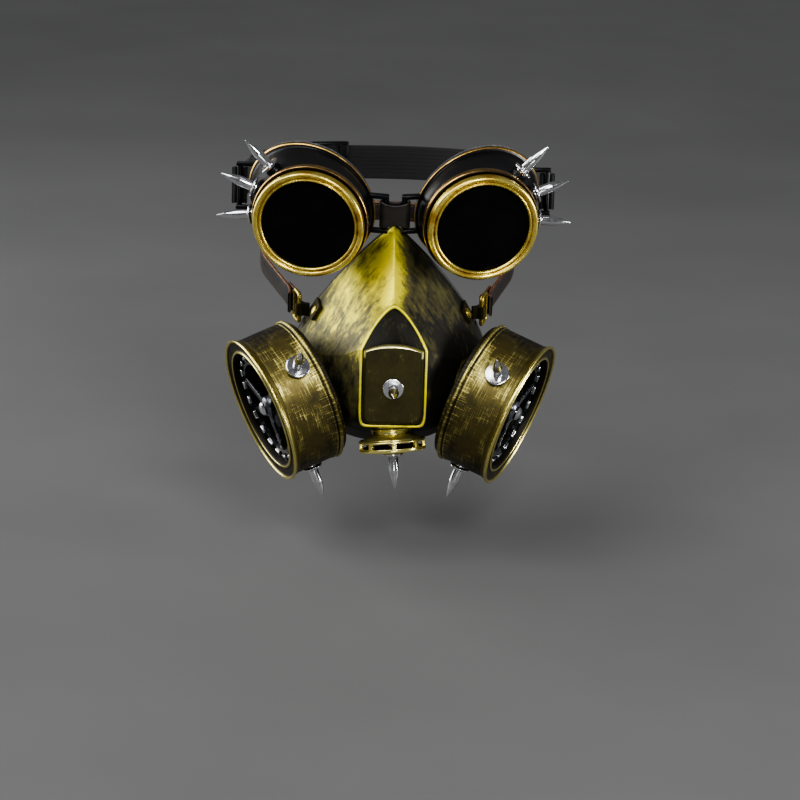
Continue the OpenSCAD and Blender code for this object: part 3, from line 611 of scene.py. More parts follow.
# Rows of the shell from the rim to the snout: half width, top z, middle z, bottom z, top y, side y, bottom y,
# arch bulge, arch sharpness, squareness of the lower half.
SHELL_ROWS = [
    [52, 77, 5, -50, -30, 6, -8, 1.1, 1.3, 2.3],
    [49, 70, 5, -45, -37, -14, -24, 1.14, 1.28, 2.5],
    [40, 60, 7, -35, -46.5, -38, -44, 1.2, 1.22, 3],
    [27, 49.5, 13, -26, -57, -61, -60, 1.35, 1.12, 4.5],
    [SNOUT_W, SPRING_Z + 22, SPRING_Z, SNOUT_BOTTOM, -64, -74, -74, 1.54, 1.05, 14]]
LIP_W, LIP_H = 1.5, 1.6


def spline(a, b, c, d, t):
    """A smooth curve's value between b and c, with a before and d after."""
    second, third = 2 * a - 5 * b + 4 * c - d, 3 * b - a - 3 * c + d
    return 0.5 * (2 * b + (c - a) * t + second * t * t + third * t ** 3)


def smooth_row(rows, i, t):
    near = [rows[max(i - 1, 0)], rows[i], rows[i + 1], rows[min(i + 2, len(rows) - 1)]]
    return [spline(a, b, c, d, t) for a, b, c, d in zip(*near)]


def between(rows, steps):
    return [smooth_row(rows, i, k / steps) for i in range(len(rows) - 1) for k in range(steps)] + [rows[-1]]


def half_point(row, degrees):
    """A point round a row, from 0 at the top, past 90 at the wearer's left, to 180 at the bottom."""
    half_w, top_z, mid_z, low_z, top_y, side_y, low_y, bulge, sharp, square = row
    s = max(math.sin(math.radians(degrees)), 0)
    c = abs(math.cos(math.radians(degrees)))
    up = degrees <= 90
    x = half_w * s ** (2 / (bulge if up else square))
    h = c ** (2 / (sharp if up else square))
    if up:
        return Vector((x, side_y + (top_y - side_y) * h, mid_z + (top_z - mid_z) * h))
    return Vector((x, side_y + (low_y - side_y) * h ** 1.6, mid_z - (mid_z - low_z) * h))


def shell_loop(row, count=160):
    loop = []
    for k in range(count):
        a = 360 * k / count
        p = half_point(row, a if a <= 180 else 360 - a)
        loop.append(p if a <= 180 else Vector((-p.x, p.y, p.z)))
    return loop


def lip_row(inset, forward):
    front = SHELL_ROWS[-1]
    row = [front[0] - inset, front[1] - 1.3 * inset, front[2], front[3] + inset]
    return row + [y - forward for y in front[4:7]] + front[7:]


def inside_row(row, back):
    inner = [row[0] - SHELL_T, row[1] - 1.6 * SHELL_T, row[2], row[3] + SHELL_T]
    return inner + [y + back for y in row[4:7]] + row[7:]


def shell_tone(p):
    """Bright down the ridge of the nose, where the paint is rubbed and a highlight is also painted, and a
    painted highlight on the right cheek beside it. Darker towards the rim; painted shade on the underside, at
    the ports and on the left cheek."""
    ridge = math.exp(-(p.x / 5.0) ** 2) * min(1, max(0, (p.z - 38) / 12))
    rim = max(0, (p.y + 22) / 22)
    underside_shade = max(0, (-p.z - 4) / 26)
    port_shade = math.exp(-(((abs(p.x) - 35) / 16) ** 2 + ((p.z + 12) / 26) ** 2))
    near_nose_highlight = math.exp(-((p.x + 9) / 9) ** 2) * min(1, max(0, (p.z - 36) / 10))
    far_cheek_shade = min(1, max(0, (p.x - 3) / 6))
    # Beside the nose a painted highlight; at the ports, on the underside and on the left cheek painted shade.
    return 0.6 * ridge + 0.55 * near_nose_highlight - 0.9 * rim - 0.9 * underside_shade - 1.2 * port_shade - 0.8 * far_cheek_shade


def face_shell():
    # The lip's loops are rubbed bright; the last two, which turn back into the recess round the plate, carry
    # painted shade.
    lip = [(0.0, 0.5, 0.2), (0.15, LIP_H - 0.25, 0.7), (0.45, LIP_H, 0.9), (LIP_W - 0.4, LIP_H, 0.8),
           (LIP_W - 0.1, LIP_H - 0.25, 0.3), (LIP_W + 0.2, 0.1, -1.2), (LIP_W + 0.6, 0.0, -1.3)]
    rows = [inside_row(r, SHELL_T if i else 0) for i, r in enumerate(SHELL_ROWS)]
    loops = [shell_loop(r) for r in reversed(between(rows, 6))]
    tones = [-1.0] * len(loops)
    for row in between(SHELL_ROWS, 10):
        loops.append(shell_loop(row))
        tones.append(None)
    for inset, forward, tone in lip:
        loops.append(shell_loop(lip_row(inset, forward)))
        tones.append(tone)
    points, faces = loft(loops)
    shape = Shape()
    shape.points, shape.local, shape.faces = points, points, faces
    for loop, tone in zip(loops, tones):
        shape.tone += [shell_tone(p) if tone is None else tone for p in loop]
    shell = add_piece("face_shell_skin", shape, SHELL_GOLD, "mask", ["face_shell"], sharp=50)
    cut_round(shell, CANISTER @ moved(0, 0, -18), 15.0, 24)
    cut_round(shell, Matrix.Scale(-1, 4, (1, 0, 0)) @ CANISTER @ moved(0, 0, -18), 15.0, 24)
    cut_round(shell, VALVE @ moved(0, 0, -10), 10.55, 20)
    return shell


def cut_round(piece, to, radius, depth):
    """Cuts a round hole from the frame's origin along its Z."""
    points, faces = lathe([(0, 0), (radius, 0), (radius, depth), (0, depth)], 64, closed=False)
    mesh = new_mesh("cutter", [to @ Vector(p) for p in points], faces)
    clean(mesh)
    cutter = new_object("cutter", mesh)
    modifier = piece.modifiers.new("hole", "BOOLEAN")
    modifier.object, modifier.operation, modifier.solver = cutter, "DIFFERENCE", "EXACT"
    result = evaluated(piece)
    piece.modifiers.clear()
    piece.data = result
    bpy.data.objects.remove(cutter)


def smooth_closed(profile, steps):
    """A smooth closed curve through a profile's points."""
    n = len(profile)
    out = []
    for i in range(n):
        a, b, c, d = (Vector(profile[(i + k) % n]) for k in (-1, 0, 1, 2))
        out += [spline(a, b, c, d, k / steps) for k in range(steps)]
    return out


def face_cushion():
    """The soft strip on the rim: two rolls with a groove between them."""
    half_w, top, _, low, top_y, side_y, low_y, bulge, sharp, square = SHELL_ROWS[0]
    rolls = [(0.2, 0.4), (-0.5, 2.6), (1.2, 4.7), (3.0, 4.3), (4.9, 5.0), (6.7, 3.0), (5.6, 0.4)]
    loops = []
    for inset, back in smooth_closed(rolls, 5):
        row = [half_w - inset, top - 1.5 * inset, 5, low + inset, top_y + back, side_y + back, low_y + back]
        loops.append(shell_loop(row + [bulge, sharp, square], 144))
    points, faces = loft(loops, closed=True)
    piece = add_piece("face_cushion_seal", Shape().add(points, faces), RUBBER, "mask", ["face_cushion"],
                      sharp=80)


# ---------- spikes ----------
FLANGE_R = 5.6
SPIKE_R = 2.8


def spikes(places):
    """Screw-back spikes on frames, each given with its flange's radius."""
    shape = Shape()
    for to, flange in places:
        profile = [
            (0, 0.2), (3.3, 0.2), (3.3, 1.2), (flange - 0.3, 1.2), (flange, 1.5), (flange, 2.3),
            (flange - 0.5, 2.6), (SPIKE_R - 0.6, 2.65), (SPIKE_R - 0.6, 3.1), (SPIKE_R, 3.5), (SPIKE_R, 10.5),
            (SPIKE_R - 0.9, 15.0), (0.35, 20.3), (0, 20.6)]
        shape.add(*lathe(fillet(profile, 0.25, closed=False), 40, closed=False), to=to)
    return shape


# Each drum's spikes: the angle from the front, the height up the drum and the flange's radius.
DRUM_SPIKES = {
    "left": [(-34, 16, 6.5), (89, 10.5, FLANGE_R)],
    "right": [(-34, 11, 6.5), (89, 13.5, FLANGE_R)]}
GOGGLE_SPIKE_ANGLES = (45, 19, -8)


def on_side(to, degrees, r, z):
    """A frame on the side of something round, pointing outwards."""
    return to @ turned(degrees) @ moved(r, 0, z) @ turned(90, "Y")


def side_spikes():
    for side, rows in DRUM_SPIKES.items():
        shape = spikes([(on_side(CANISTER, a, DRUM_R, z), r) for a, z, r in rows])
        if side == "right":
            shape = shape.mirrored()
        add_piece(side + "_drum_spikes_turned", shape, CHROME, side + "_canister", [side + "_drum_spikes"])
    shape = spikes([(on_side(GOGGLE, a, SPIKE_BOSS_R, SPIKE_BOSS_Z), FLANGE_R) for a in GOGGLE_SPIKE_ANGLES])
    add_pair("goggle_spikes_turned", shape, CHROME, "goggles", ["SIDE_goggle_spikes"])


# ---------- snout ----------
PLATE_T = 3.4


def plate_outline(inset):
    """The snout plate's edge: a shallow arch, straight sides and rounded lower corners."""
    half, bottom, side_z, rise, corner = 15.9 - inset, -20.4 + inset, 19.5, 3.6 - inset, 5 - inset
    radius = (half * half + rise * rise) / (2 * rise)
    spread = math.asin(half / radius)
    top = [Vector((radius * math.sin(a), 0, side_z + rise - radius + radius * math.cos(a)))
           for a in (spread * (k / 12 - 1) for k in range(25))]
    side = [Vector((half, 0, side_z + (bottom + corner - side_z) * k / 8)) for k in range(1, 8)]
    turn = [Vector((half - corner + corner * math.cos(a), 0, bottom + corner - corner * math.sin(a)))
            for a in (math.pi / 2 * k / 8 for k in range(9))]
    right = side + turn
    base = [Vector(((half - corner) * (1 - k / 4), 0, bottom)) for k in range(1, 8)]
    left = [Vector((-p.x, 0, p.z)) for p in reversed(right)]
    return top + right + base + left


def snout():
    back = snout_front_y + PLATE_T
    flat = 1.6  # how far in from the edge the bevel ends
    steps = [(0.0, 0.05, 0.5), (0.0, 1.9, 0.8), (0.18, 2.5, 1.0), (0.55, 3.0, 1.0), (1.05, 3.3, 1.0),
             (1.3, 3.38, 0.0), (flat, PLATE_T, -0.1), (4, PLATE_T, -0.1), (9, PLATE_T, -0.1)]
    loops, tones = [], []
    for inset, forward, tone in steps:
        share = 1 - max(0, inset - flat) / 15
        loop = [Vector((p.x * share, back - forward, p.z * share)) for p in plate_outline(min(inset, flat))]
        loops.append(loop)
        # The arched top edge is rubbed and carries a painted highlight; the other edges stay a little darker.
        tones += [tone * (2.4 if p.z > 18 else -0.2) for p in loop]
    points, faces = loft(loops)
    shape = Shape().add(points, faces)
    shape.tone = tones
    add_piece("snout_plate_cover", shape, DARK_METAL, "mask", ["snout_plate"])
    at = place(Vector((0, snout_front_y, 0)), FRONT, LEFTWARD)
    add_piece("snout_spike_turned", spikes([(at, FLANGE_R)]), CHROME, "mask", ["snout_spike"])


# ---------- exhaust valve ----------
def exhaust():
    seat = Shape().add(*lathe(fillet([
        (8.7, -4.8), (10.5, -4.8), (10.5, 1.6), (11.0, 2.0), (11.0, 2.8), (10.5, 3.2), (10.5, 4.9),
        (14.9, 7.2), (15.5, 7.7), (15.5, 9), (9.6, 9), (8.7, 7.5)], 0.3), 96), to=VALVE)
    for a in (30, 150, 270):
        seat.add(*rounded_box((8.6, 1.8, 1.8), 0.3), to=VALVE @ turned(a) @ moved(4.6, 0, 7.3))
    stem = fillet([(0, 6.4), (2.2, 6.4), (2.2, 8.3), (1, 8.4), (1, 10.4), (0, 10.6)], 0.2, closed=False)
    seat.add(*lathe(stem, 32, closed=False), to=VALVE)
    add_piece("exhaust_seat_neck", seat, VALVE_GOLD, "mask", ["exhaust_seat"])
    disc = fillet([(1.1, 9.1), (12.4, 9.1), (12.4, 9.6), (10.5, 9.8), (1.1, 9.85)], 0.15)
    flap = Shape().add(*lathe(disc, 72), to=VALVE)
    add_piece("exhaust_flap_disc", flap, RUBBER, "exhaust_flap", ["exhaust_flap"])

    # Outer rims rubbed bright. Painted shade under the roof and on the lower ring's inner faces, seen through
    # the windows.
    def edge(p):
        return 0.35 if math.hypot(p.x, p.y) > 17 else -1.6 if p.z < 14 else -0.2

    cage = Shape().add(*lathe(fillet([
        (15.7, 7.9), (17.2, 7.9), (18, 8.5), (18, 9.3), (15.7, 9.3)], 0.3), 96), to=VALVE, tone=edge)
    cage.add(*lathe(fillet([
        (1.4, 12.65), (15.6, 12.65), (15.7, 12.3), (18, 12.3), (18, 13.7), (17.3, 14.4), (1.4, 14.4)], 0.3),
        96), to=VALVE, tone=edge)
    for i in range(8):
        at = VALVE @ turned(20 + 45 * (i + 0.5)) @ moved(16.85, 0, 10.8)
        cage.add(*rounded_box((2.2, 2.5, 3.6), 0.25), to=at)
    add_piece("exhaust_cage_ring", cage, VALVE_GOLD, "exhaust_cage", ["exhaust_cage"])
    spike = spikes([(VALVE @ moved(0, 0, 14.4), FLANGE_R)])
    add_piece("exhaust_spike_turned", spike, CHROME, "exhaust_cage", ["exhaust_spike"])


# ---------- canisters ----------
DRUM_DEPTH = 26
DRUM_IN_R = DRUM_R - 2.2
GRILLE_Z = 24.2


def drum_tone(p):
    """Beads rubbed bright, painted shade on the drum's upper and lower sides, and a painted highlight round
    the front spike.
    """
    r = math.hypot(p.x, p.y)
    if r < DRUM_R - 1:
        return -0.6
    if r > DRUM_R + 0.25:
        return 0.45 if p.z < 4 else 0.8
    if p.z < 2.8:
        return -0.7
    around = math.degrees(math.atan2(p.y, p.x))
    # Painted shade above and below the drum, and a painted highlight round the front spike.
    above = math.exp(-((around + 98) / 34) ** 2)
    below = math.exp(-((around - 92) / 40) ** 2)
    front = math.exp(-((around + 34) / 24) ** 2)
    return 0.3 * front - 0.7 * above - 0.55 * below + 0.2 * max(0, (p.z - 24) / 2)


def dense(profile, step):
    """Adds points to a profile, so that its long runs carry tones."""
    out = []
    for i, p in enumerate(profile):
        a, b = Vector(p), Vector(profile[(i + 1) % len(profile)])
        count = max(1, round((b - a).length / step))
        out += [a.lerp(b, k / count) for k in range(count)]
    return out


def canister_shell():
    drum = fillet([
        (14, -3), (DRUM_R - 2.1, -3), (DRUM_R - 1.5, -2.4), (DRUM_R - 1.5, -0.2), (DRUM_R + 0.5, -0.2),
        (DRUM_R + 1, 0.3), (DRUM_R + 1, 1.1), (DRUM_R + 0.5, 1.6), (DRUM_R, 1.8), (DRUM_R - 0.2, 2.6),
        (DRUM_R + 0.4, 2.9), (DRUM_R + 0.4, 3.5), (DRUM_R, 3.8), (DRUM_R, DRUM_DEPTH),
        (DRUM_IN_R, DRUM_DEPTH), (DRUM_IN_R, 2), (DRUM_IN_R - 2, -0.5), (14, -0.5)], 0.3)
    shape = Shape().add(*lathe(dense(drum, 2.0), 144), to=CANISTER, tone=drum_tone)
    add_pair("drum_body", shape, DRUM_GOLD, "SIDE_canister", ["SIDE_drum"])

    z = DRUM_DEPTH
    bezel = fillet([
        (34.6, z - 6), (DRUM_IN_R - 0.1, z - 6), (DRUM_IN_R - 0.1, z + 0.05), (DRUM_R + 0.3, z + 0.05),
        (DRUM_R + 0.3, z + 1.9), (DRUM_R + 1.2, z + 2.5), (DRUM_R + 1.9, z + 3.1), (DRUM_R + 1.9, z + 3.8),
        (DRUM_R + 1.3, z + 4.4), (DRUM_R + 0.7, z + 4.2), (DRUM_R - 0.4, z + 3), (34.6, z + 2.6),
        (33.8, z + 3.7), (33, z + 3.8), (32.6, z + 3.0), (32.4, z + 2.6), (32.4, z + 0.05),
        (34.6, z + 0.05)], 0.3)

    def bezel_tone(p):
        r = math.hypot(p.x, p.y)
        if r > DRUM_R + 0.4:
            return 0.85
        if r < 34.2 and p.z > z + 3.2:
            return 0.7
        return -1.2 if r < 33 else -0.5 if r < DRUM_R + 0.1 else 0.0

    shape = Shape().add(*lathe(dense(bezel, 1.0), 144), to=CANISTER, tone=bezel_tone)
    add_pair("bezel_ring", shape, BEZEL_GOLD, "SIDE_canister", ["SIDE_bezel"])


def grille():
    """A slotted black ring with three spokes, and a bright stud between each two slots."""
    slots, per_slot = 20, 8
    radii, low, high = [25, 26.8, 31.4, 34.3], GRILLE_Z, GRILLE_Z + 1.8
    count = slots * per_slot
    work = bmesh.new()
    rings = [[[work.verts.new((r * math.cos(TAU * k / count), r * math.sin(TAU * k / count), z))
               for k in range(count)] for r in radii] for z in (low, high)]

    def quad(*verts):
        work.faces.new(verts)

    def solid(ring, k):
        return ring != 1 or (k + per_slot // 4) % per_slot < per_slot // 2

    for k in range(count):
        m = (k + 1) % count
        for ring in range(3):
            if not solid(ring, k):
                quad(rings[0][1][k], rings[0][1][m], rings[1][1][m], rings[1][1][k])
                quad(rings[0][2][k], rings[1][2][k], rings[1][2][m], rings[0][2][m])
                continue
            for layer in (0, 1):
                inner, outer = rings[layer][ring], rings[layer][ring + 1]
                quad(inner[k], inner[m], outer[m], outer[k])
            if ring == 1 and not solid(1, k - 1):
                quad(rings[0][1][k], rings[0][2][k], rings[1][2][k], rings[1][1][k])
            if ring == 1 and not solid(1, m):
                quad(rings[0][1][m], rings[1][1][m], rings[1][2][m], rings[0][2][m])
        quad(rings[0][0][k], rings[1][0][k], rings[1][0][m], rings[0][0][m])
        quad(rings[0][3][k], rings[0][3][m], rings[1][3][m], rings[1][3][k])
    bmesh.ops.recalc_face_normals(work, faces=work.faces)
    shape = Shape().add(*taken(work), to=CANISTER)
    for a in (90, 210, 330):
        shape.add(*rounded_box((20.5, 4.2, 1.7), 0.5), to=CANISTER @ turned(a) @ moved(15.2, 0, low + 0.9))
    hub = fillet([
        (1.6, low - 1.3), (6, low - 1.3), (6, high - 0.3), (4.6, high + 1.1), (1.6, high + 1.1)], 0.4)
    shape.add(*lathe(hub, 48), to=CANISTER, tone=0.15)
    add_pair("grille_plate", shape, GUN_BLACK, "SIDE_canister", ["SIDE_grille"])
    studs = Shape()
    for i in range(slots):
        a = 360 / slots * i
        studs.add(*rounded_box((1.8, 4.8, 1.4), 0.6), to=CANISTER @ turned(a) @ moved(29.1, 0, high + 0.15))
    add_pair("grille_studs", studs, CHROME, "SIDE_canister", [])


def fan():
    """Nine curved, pitched blades on a domed hub."""
    blades, low = 9, 16
    hub = fillet([(1.6, low), (7.5, low), (7.5, low + 4.6), (5.5, low + 6.1), (1.6, low + 6.1)], 0.5)
    shape = Shape().add(*lathe(hub, 48), to=CANISTER, tone=0.1)
    # A blade's section: places along its half chord, and its thickness there in millimetres.
    section = ((-1, 0), (-0.6, 0.42), (0, 0.55), (0.6, 0.42), (1, 0), (0.6, -0.3), (0, -0.4), (-0.6, -0.3))
    for i in range(blades):
        loops = []
        for k in range(9):
            s = k / 8
            r = 6.5 + 23 * s
            chord, pitch = 7.6 + 3.0 * s, math.radians(38 - 14 * s)
            sweep = math.radians(360 / blades * i + 10 * s * s)
            loop = []
            for c, t in section:
                u, v = c * chord / 2, t + 0.7 * (1 - c * c)
                across = u * math.cos(pitch) - v * math.sin(pitch)
                height = u * math.sin(pitch) + v * math.cos(pitch)
                angle = sweep + across / r
                loop.append(Vector((r * math.cos(angle), r * math.sin(angle), low + 3.0 + 0.85 * height)))
            loops.append(loop)
        points, faces = loft(loops)
        shape.add(points, faces, to=CANISTER)
    add_pair("fan_wheel", shape, GUN_BLACK, "SIDE_fan", ["SIDE_fan"], sharp=50)


def filter_pad():
    """A round pad of pleated filter cloth."""
    radius, low, high, rows, steps = 33.2, 2.6, 13.0, 120, 24
    loops = []
    for layer, base in ((0, low), (1, high)):
        grid = []
        for i in range(rows + 1):
            x = radius * 0.999 * (2 * i / rows - 1)
            half = math.sqrt(max(radius ** 2 - x ** 2, 0.04))
            fold = 0.8 * abs(((i / 4) % 2) - 1) - 0.5
            edge = [2 * j / steps - 1 for j in range(steps + 1)]
            grid.append([Vector((x, half * e, base + (fold if abs(e) < 0.97 else -0.4) * (1 if layer else 0)))
                         for e in edge])
        loops.append(grid)
    points = [p for grid in loops for row in grid for p in row]
    wide = steps + 1
    layer_size = (rows + 1) * wide
    faces = []
    for i in range(rows):
        for j in range(steps):
            a = i * wide + j
            faces.append((a, a + 1, a + wide + 1, a + wide))
            b = a + layer_size
            faces.append((b, b + wide, b + wide + 1, b + 1))
    rim = list(range(wide)) + [i * wide + steps for i in range(1, rows + 1)]
    rim += [rows * wide + j for j in range(steps - 1, -1, -1)] + [i * wide for i in range(rows - 1, 0, -1)]
    for a, b in zip(rim, rim[1:] + rim[:1]):
        faces.append((a, a + layer_size, b + layer_size, b))
    pads = add_pair("filter_pleats", Shape().add(points, faces, to=CANISTER), FILTER_CLOTH, "SIDE_canister",
                    ["SIDE_filter_pad"], 25)


# ---------- goggles ----------
CUP_W, CUP_H, CUP_WALL, CUP_FRONT_R, CUP_FRONT_Z = 34.5, 30, 2.2, 30, 22
CUP_SHIFT, CUP_TURN, CUP_RAKE = 4, 13, math.tan(math.radians(14))
SPIKE_BOSS_R, SPIKE_BOSS_Z = 32.8, 15
BARREL_R = 28.6


def cup_loop(w, h, z, count=128):
    """An oval round the eye. Towards the rear it moves and turns to the temple, and lies back there."""
    loop = []
    k = 1 - max(z, 0) / CUP_FRONT_Z
    t = math.radians(CUP_TURN * k)
    for j in range(count):
        a = TAU * j / count
        x = w * math.sin(a) * math.cos(t) - h * math.cos(a) * math.sin(t) + CUP_SHIFT * k
        y = w * math.sin(a) * math.sin(t) + h * math.cos(a) * math.cos(t)
        loop.append(Vector((x, y, z - x * CUP_RAKE * k)))
    return loop


def ease(a, b, t):
    return a + (b - a) * t * t * (3 - 2 * t)


def eyecup():
    loops, tones = [], []
    steps = 12
    for i in range(steps, -1, -1):
        t = i / steps
        loops.append(cup_loop(ease(CUP_W, CUP_FRONT_R, t) - CUP_WALL, ease(CUP_H, CUP_FRONT_R, t) - CUP_WALL,
                              CUP_FRONT_Z * t))
        tones.append(-0.1)
    for grow, z, tone in ((1.6, 0.0, 0.0), (2.0, 0.35, 0.2), (2.0, 1.3, 0.85), (1.75, 1.75, 1.0),
                          (1.35, 1.95, 0.2), (0.5, 2.1, 0.0), (0.1, 2.6, 0.0)):
        loops.append(cup_loop(CUP_W + grow, CUP_H + grow, z))
        tones.append(tone)
    for i in range(1, steps + 1):
        t = i / steps
        z = 2.6 + (CUP_FRONT_Z - 2.6) * t
        loops.append(cup_loop(ease(CUP_W, CUP_FRONT_R, t), ease(CUP_H, CUP_FRONT_R, t), z))
        tones.append(0.0 if i < steps else 0.25)
    points, faces = loft(loops, closed=True)
    shape = Shape().add(points, faces, to=GOGGLE)
    shape.tone = [tone for loop, tone in zip(loops, tones) for _ in loop]
    front = fillet([
        (25.3, 20.5), (28.5, 20.5), (29.6, 21.5), (29.6, 23.9), (BARREL_R, 24), (BARREL_R, 28.8),
        (28.2, 29.95), (25.3, 29.95)], 0.25)
    shape.add(*lathe(front, 128), to=GOGGLE)
    for a in GOGGLE_SPIKE_ANGLES:
        boss = fillet([(0, 0), (4.6, 0), (4.2, 1.6), (4.2, 3.35), (0, 3.4)], 0.3, closed=False)
        shape.add(*lathe(boss, 32, closed=False), to=on_side(GOGGLE, a, 29.4, SPIKE_BOSS_Z))
    # Lugs and a bar on the nose side, for the bridge.
    for v in (-10, 10):
        shape.add(*rounded_box((10.4, 2.4, 3.4), 0.6), to=GOGGLE @ moved(-34.4, v, 9.4))
    bar = fillet([(0, -9.5), (1.5, -9.5), (1.5, 9.5), (0, 9.5)], 0.2, closed=False)
    shape.add(*lathe(bar, 24, closed=False), to=GOGGLE @ moved(-38.2, 0, 9.4) @ turned(90, "X"))
    # Lugs and a bar on the temple side, square to the strap.
    at = GOGGLE_STRAP @ moved(goggle_bar.x, goggle_bar.y, 0)
    for v in (-1, 1):
        lug = at @ moved(0, 0, v * 11.8) @ turned(12) @ moved(-3.1, 0, 0)
        shape.add(*rounded_box((9.8, 4, 2.4), 0.7), to=lug)
    bar = fillet([(0, -11), (1.5, -11), (1.5, 11), (0, 11)], 0.2, closed=False)
    shape.add(*lathe(bar, 24, closed=False), to=at)
    add_pair("eyecup_body", shape, CUP_BLACK, "goggles", ["SIDE_eyecup"], sharp=42)


def goggle_rings():
    clamp = fillet([
        (28.65, 24.05), (30.9, 24.05), (31.5, 24.7), (31.5, 27.2), (31, 27.9), (30.2, 27.9),
        (28.65, 27)], 0.35)

    def clamp_tone(p):
        return 0.7 if math.hypot(p.x, p.y) > 31.2 else -0.1

    shape = Shape().add(*lathe(clamp, 128), to=GOGGLE, tone=clamp_tone)
    add_pair("clamp_ring_band", shape, CLAMP_BRONZE, "goggles", ["SIDE_clamp_ring"])

    seat = 32.1
    ring = fillet([
        (28.7, 29), (29.4, 29), (30, 29.6), (30, seat + 0.9), (29.5, seat + 1.8), (28.5, seat + 2.25),
        (27.5, seat + 1.8), (27.0, seat + 1.0), (26.5, seat + 1.1), (26.1, seat + 1.75), (25.5, seat + 1.6),
        (25, seat + 0.9), (25, seat), (26.8, seat), (26.8, 30.2), (28.7, 30.2)], 0.45, steps=4)

    def ring_tone(p):
        r = math.hypot(p.x, p.y)
        groove = math.exp(-((r - 26.8) / 0.35) ** 2) if p.z > seat + 0.5 else 0
        wall = 0.25 if r > 29.7 and p.z < seat + 0.4 else 0
        return 0.25 - 1.1 * groove - wall

    shape = Shape().add(*lathe(ring, 144), to=GOGGLE, tone=ring_tone)
    add_pair("lens_ring_gold", shape, RING_GOLD, "SIDE_lens_ring", ["SIDE_lens_ring"],
             sharp=60)

    angles = [math.pi / 2 * k / 12 for k in range(12, -1, -1)]
    rise = [(26.5 * math.sin(a), 31.2 + 0.85 * math.cos(a)) for a in angles]
    lens = [(0, 30.05), (26.5, 30.05)] + rise
    shape = Shape().add(*lathe(lens, 96, closed=False), to=GOGGLE)
    add_pair("lens_glass", shape, DARK_GLASS, "goggles", ["SIDE_lens"], sharp=50)


def blown_up(points, faces, held, cap):
    """A pad swollen by a cloth simulation. held says which points stay. The others move by cap at most."""
    grown = 10  # the simulation's scale: cloth this small isn't stable
    frames = 20
    mesh = new_mesh("pad", points, faces, grown)
    clean(mesh)
    pad = new_object("pad", mesh)
    voxels = pad.modifiers.new("voxels", "REMESH")
    voxels.mode, voxels.voxel_size = "VOXEL", 0.005
    pad.data = evaluated(pad)
    pad.modifiers.clear()
    start = [v.co / (MM * grown) for v in pad.data.vertices]
    pins = pad.vertex_groups.new(name="held")
    pins.add([k for k, p in enumerate(start) if held(p)], 1.0, "REPLACE")
    cloth = pad.modifiers.new("cloth", "CLOTH")
    cloth.settings.vertex_group_mass = "held"
    cloth.settings.use_pressure = True
    cloth.settings.uniform_pressure_force = 4
    cloth.settings.shrink_min = -0.08
    cloth.settings.effector_weights.gravity = 0
    cloth.point_cache.frame_start, cloth.point_cache.frame_end = 1, frames
    for k in range(1, frames + 1):
        scene.frame_set(k)
    swollen = evaluated(pad)
    scene.frame_set(1)
    out = []
    for a, v in zip(start, swollen.vertices):
        move = v.co / (MM * grown) - a
        out.append(a + move * min(1, cap / max(move.length, 1e-9)))
    quads = [tuple(f.vertices) for f in swollen.polygons]
    bpy.data.objects.remove(pad)
    return out, quads


def eye_cushion():
    count = 192
    roll = [(0.5, -0.1), (0.7, -2.1), (-0.5, -4.0), (-2.8, -4.6), (-5.1, -3.8), (-6.0, -2.1), (-5.2, -0.1)]
    points, faces = loft(
        [cup_loop(CUP_W + grow, CUP_H + grow, z, count) for grow, z in smooth_closed(roll, 5)], closed=True)
    points, faces = blown_up(points, faces, lambda p: p.z + p.x * CUP_RAKE > -0.7, 1.0)
    for piece in add_pair("eye_cushion_foam", Shape().add(points, faces, to=GOGGLE), FOAM_CLOTH, "goggles",
                          ["SIDE_eye_cushion"], sharp=80):
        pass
    # A piped seam where the foam meets the cup.
    seam = []
    ring = cup_loop(CUP_W + 0.75, CUP_H + 0.75, -0.35, count)
    for j, p in enumerate(ring):
        along = (ring[(j + 1) % count] - ring[j - 1]).normalized()
        out = along.cross(Vector((0, 0, 1))).normalized()
        up = along.cross(out)
        seam.append([p + 0.45 * (out * math.cos(TAU * k / 8) + up * math.sin(TAU * k / 8)) for k in range(8)])
    points, faces = loft(seam, closed=True)
    piping = Shape().add(points, faces, to=GOGGLE)
    add_pair("eye_cushion_piping", piping, STRAP_LEATHER, "goggles", [])


def bridge():
    """A leather band sewn round the nose-side bars of both eyecups."""
    bar = GOGGLE @ Vector((-38.2, 0, 9.4))
    tilt = Matrix.Rotation(math.radians(12), 4, "X")
    to = Matrix.Translation((0, bar.y, bar.z)) @ tilt
    half, r = [], 2.7
    for k in range(41):
        half.append(Vector((bar.x * (1 - 2 * k / 40), r - 0.35 * math.sin(math.pi * k / 40), 0)))
    for k in range(1, 16):
        a = math.pi / 2 + math.pi * k / 16
        half.append(Vector((-bar.x + r * math.cos(a), r * math.sin(a), 0)))
    path = half + [-p for p in half]
    loops, _, local = ribbon(
        path, 14, 1.2, closed=True, waist=lambda p: 1 - 0.16 * math.cos(p.x / bar.x * 1.5))
    points, faces = loft(loops, closed=True)
    shape = Shape().add(points, faces, to=to, local=local)
    add_piece("nose_bridge_band", shape, STRAP_LEATHER, "goggles", ["nose_bridge"], sharp=60)


# ---------- straps ----------
STRAP_T = 1.8
MASK_STRAP_R, MASK_STRAP_W = 72, 12
GOGGLE_STRAP_R, GOGGLE_STRAP_W = 79, 20


def touch_arc(point, radius):
    """Where a line from a point in a strap's plan touches the arc round the head: angle and place."""
    start = math.atan2(point.y, point.x) + math.acos(radius / math.hypot(point.x, point.y))
    return start, Vector((radius * math.cos(start), radius * math.sin(start), 0))


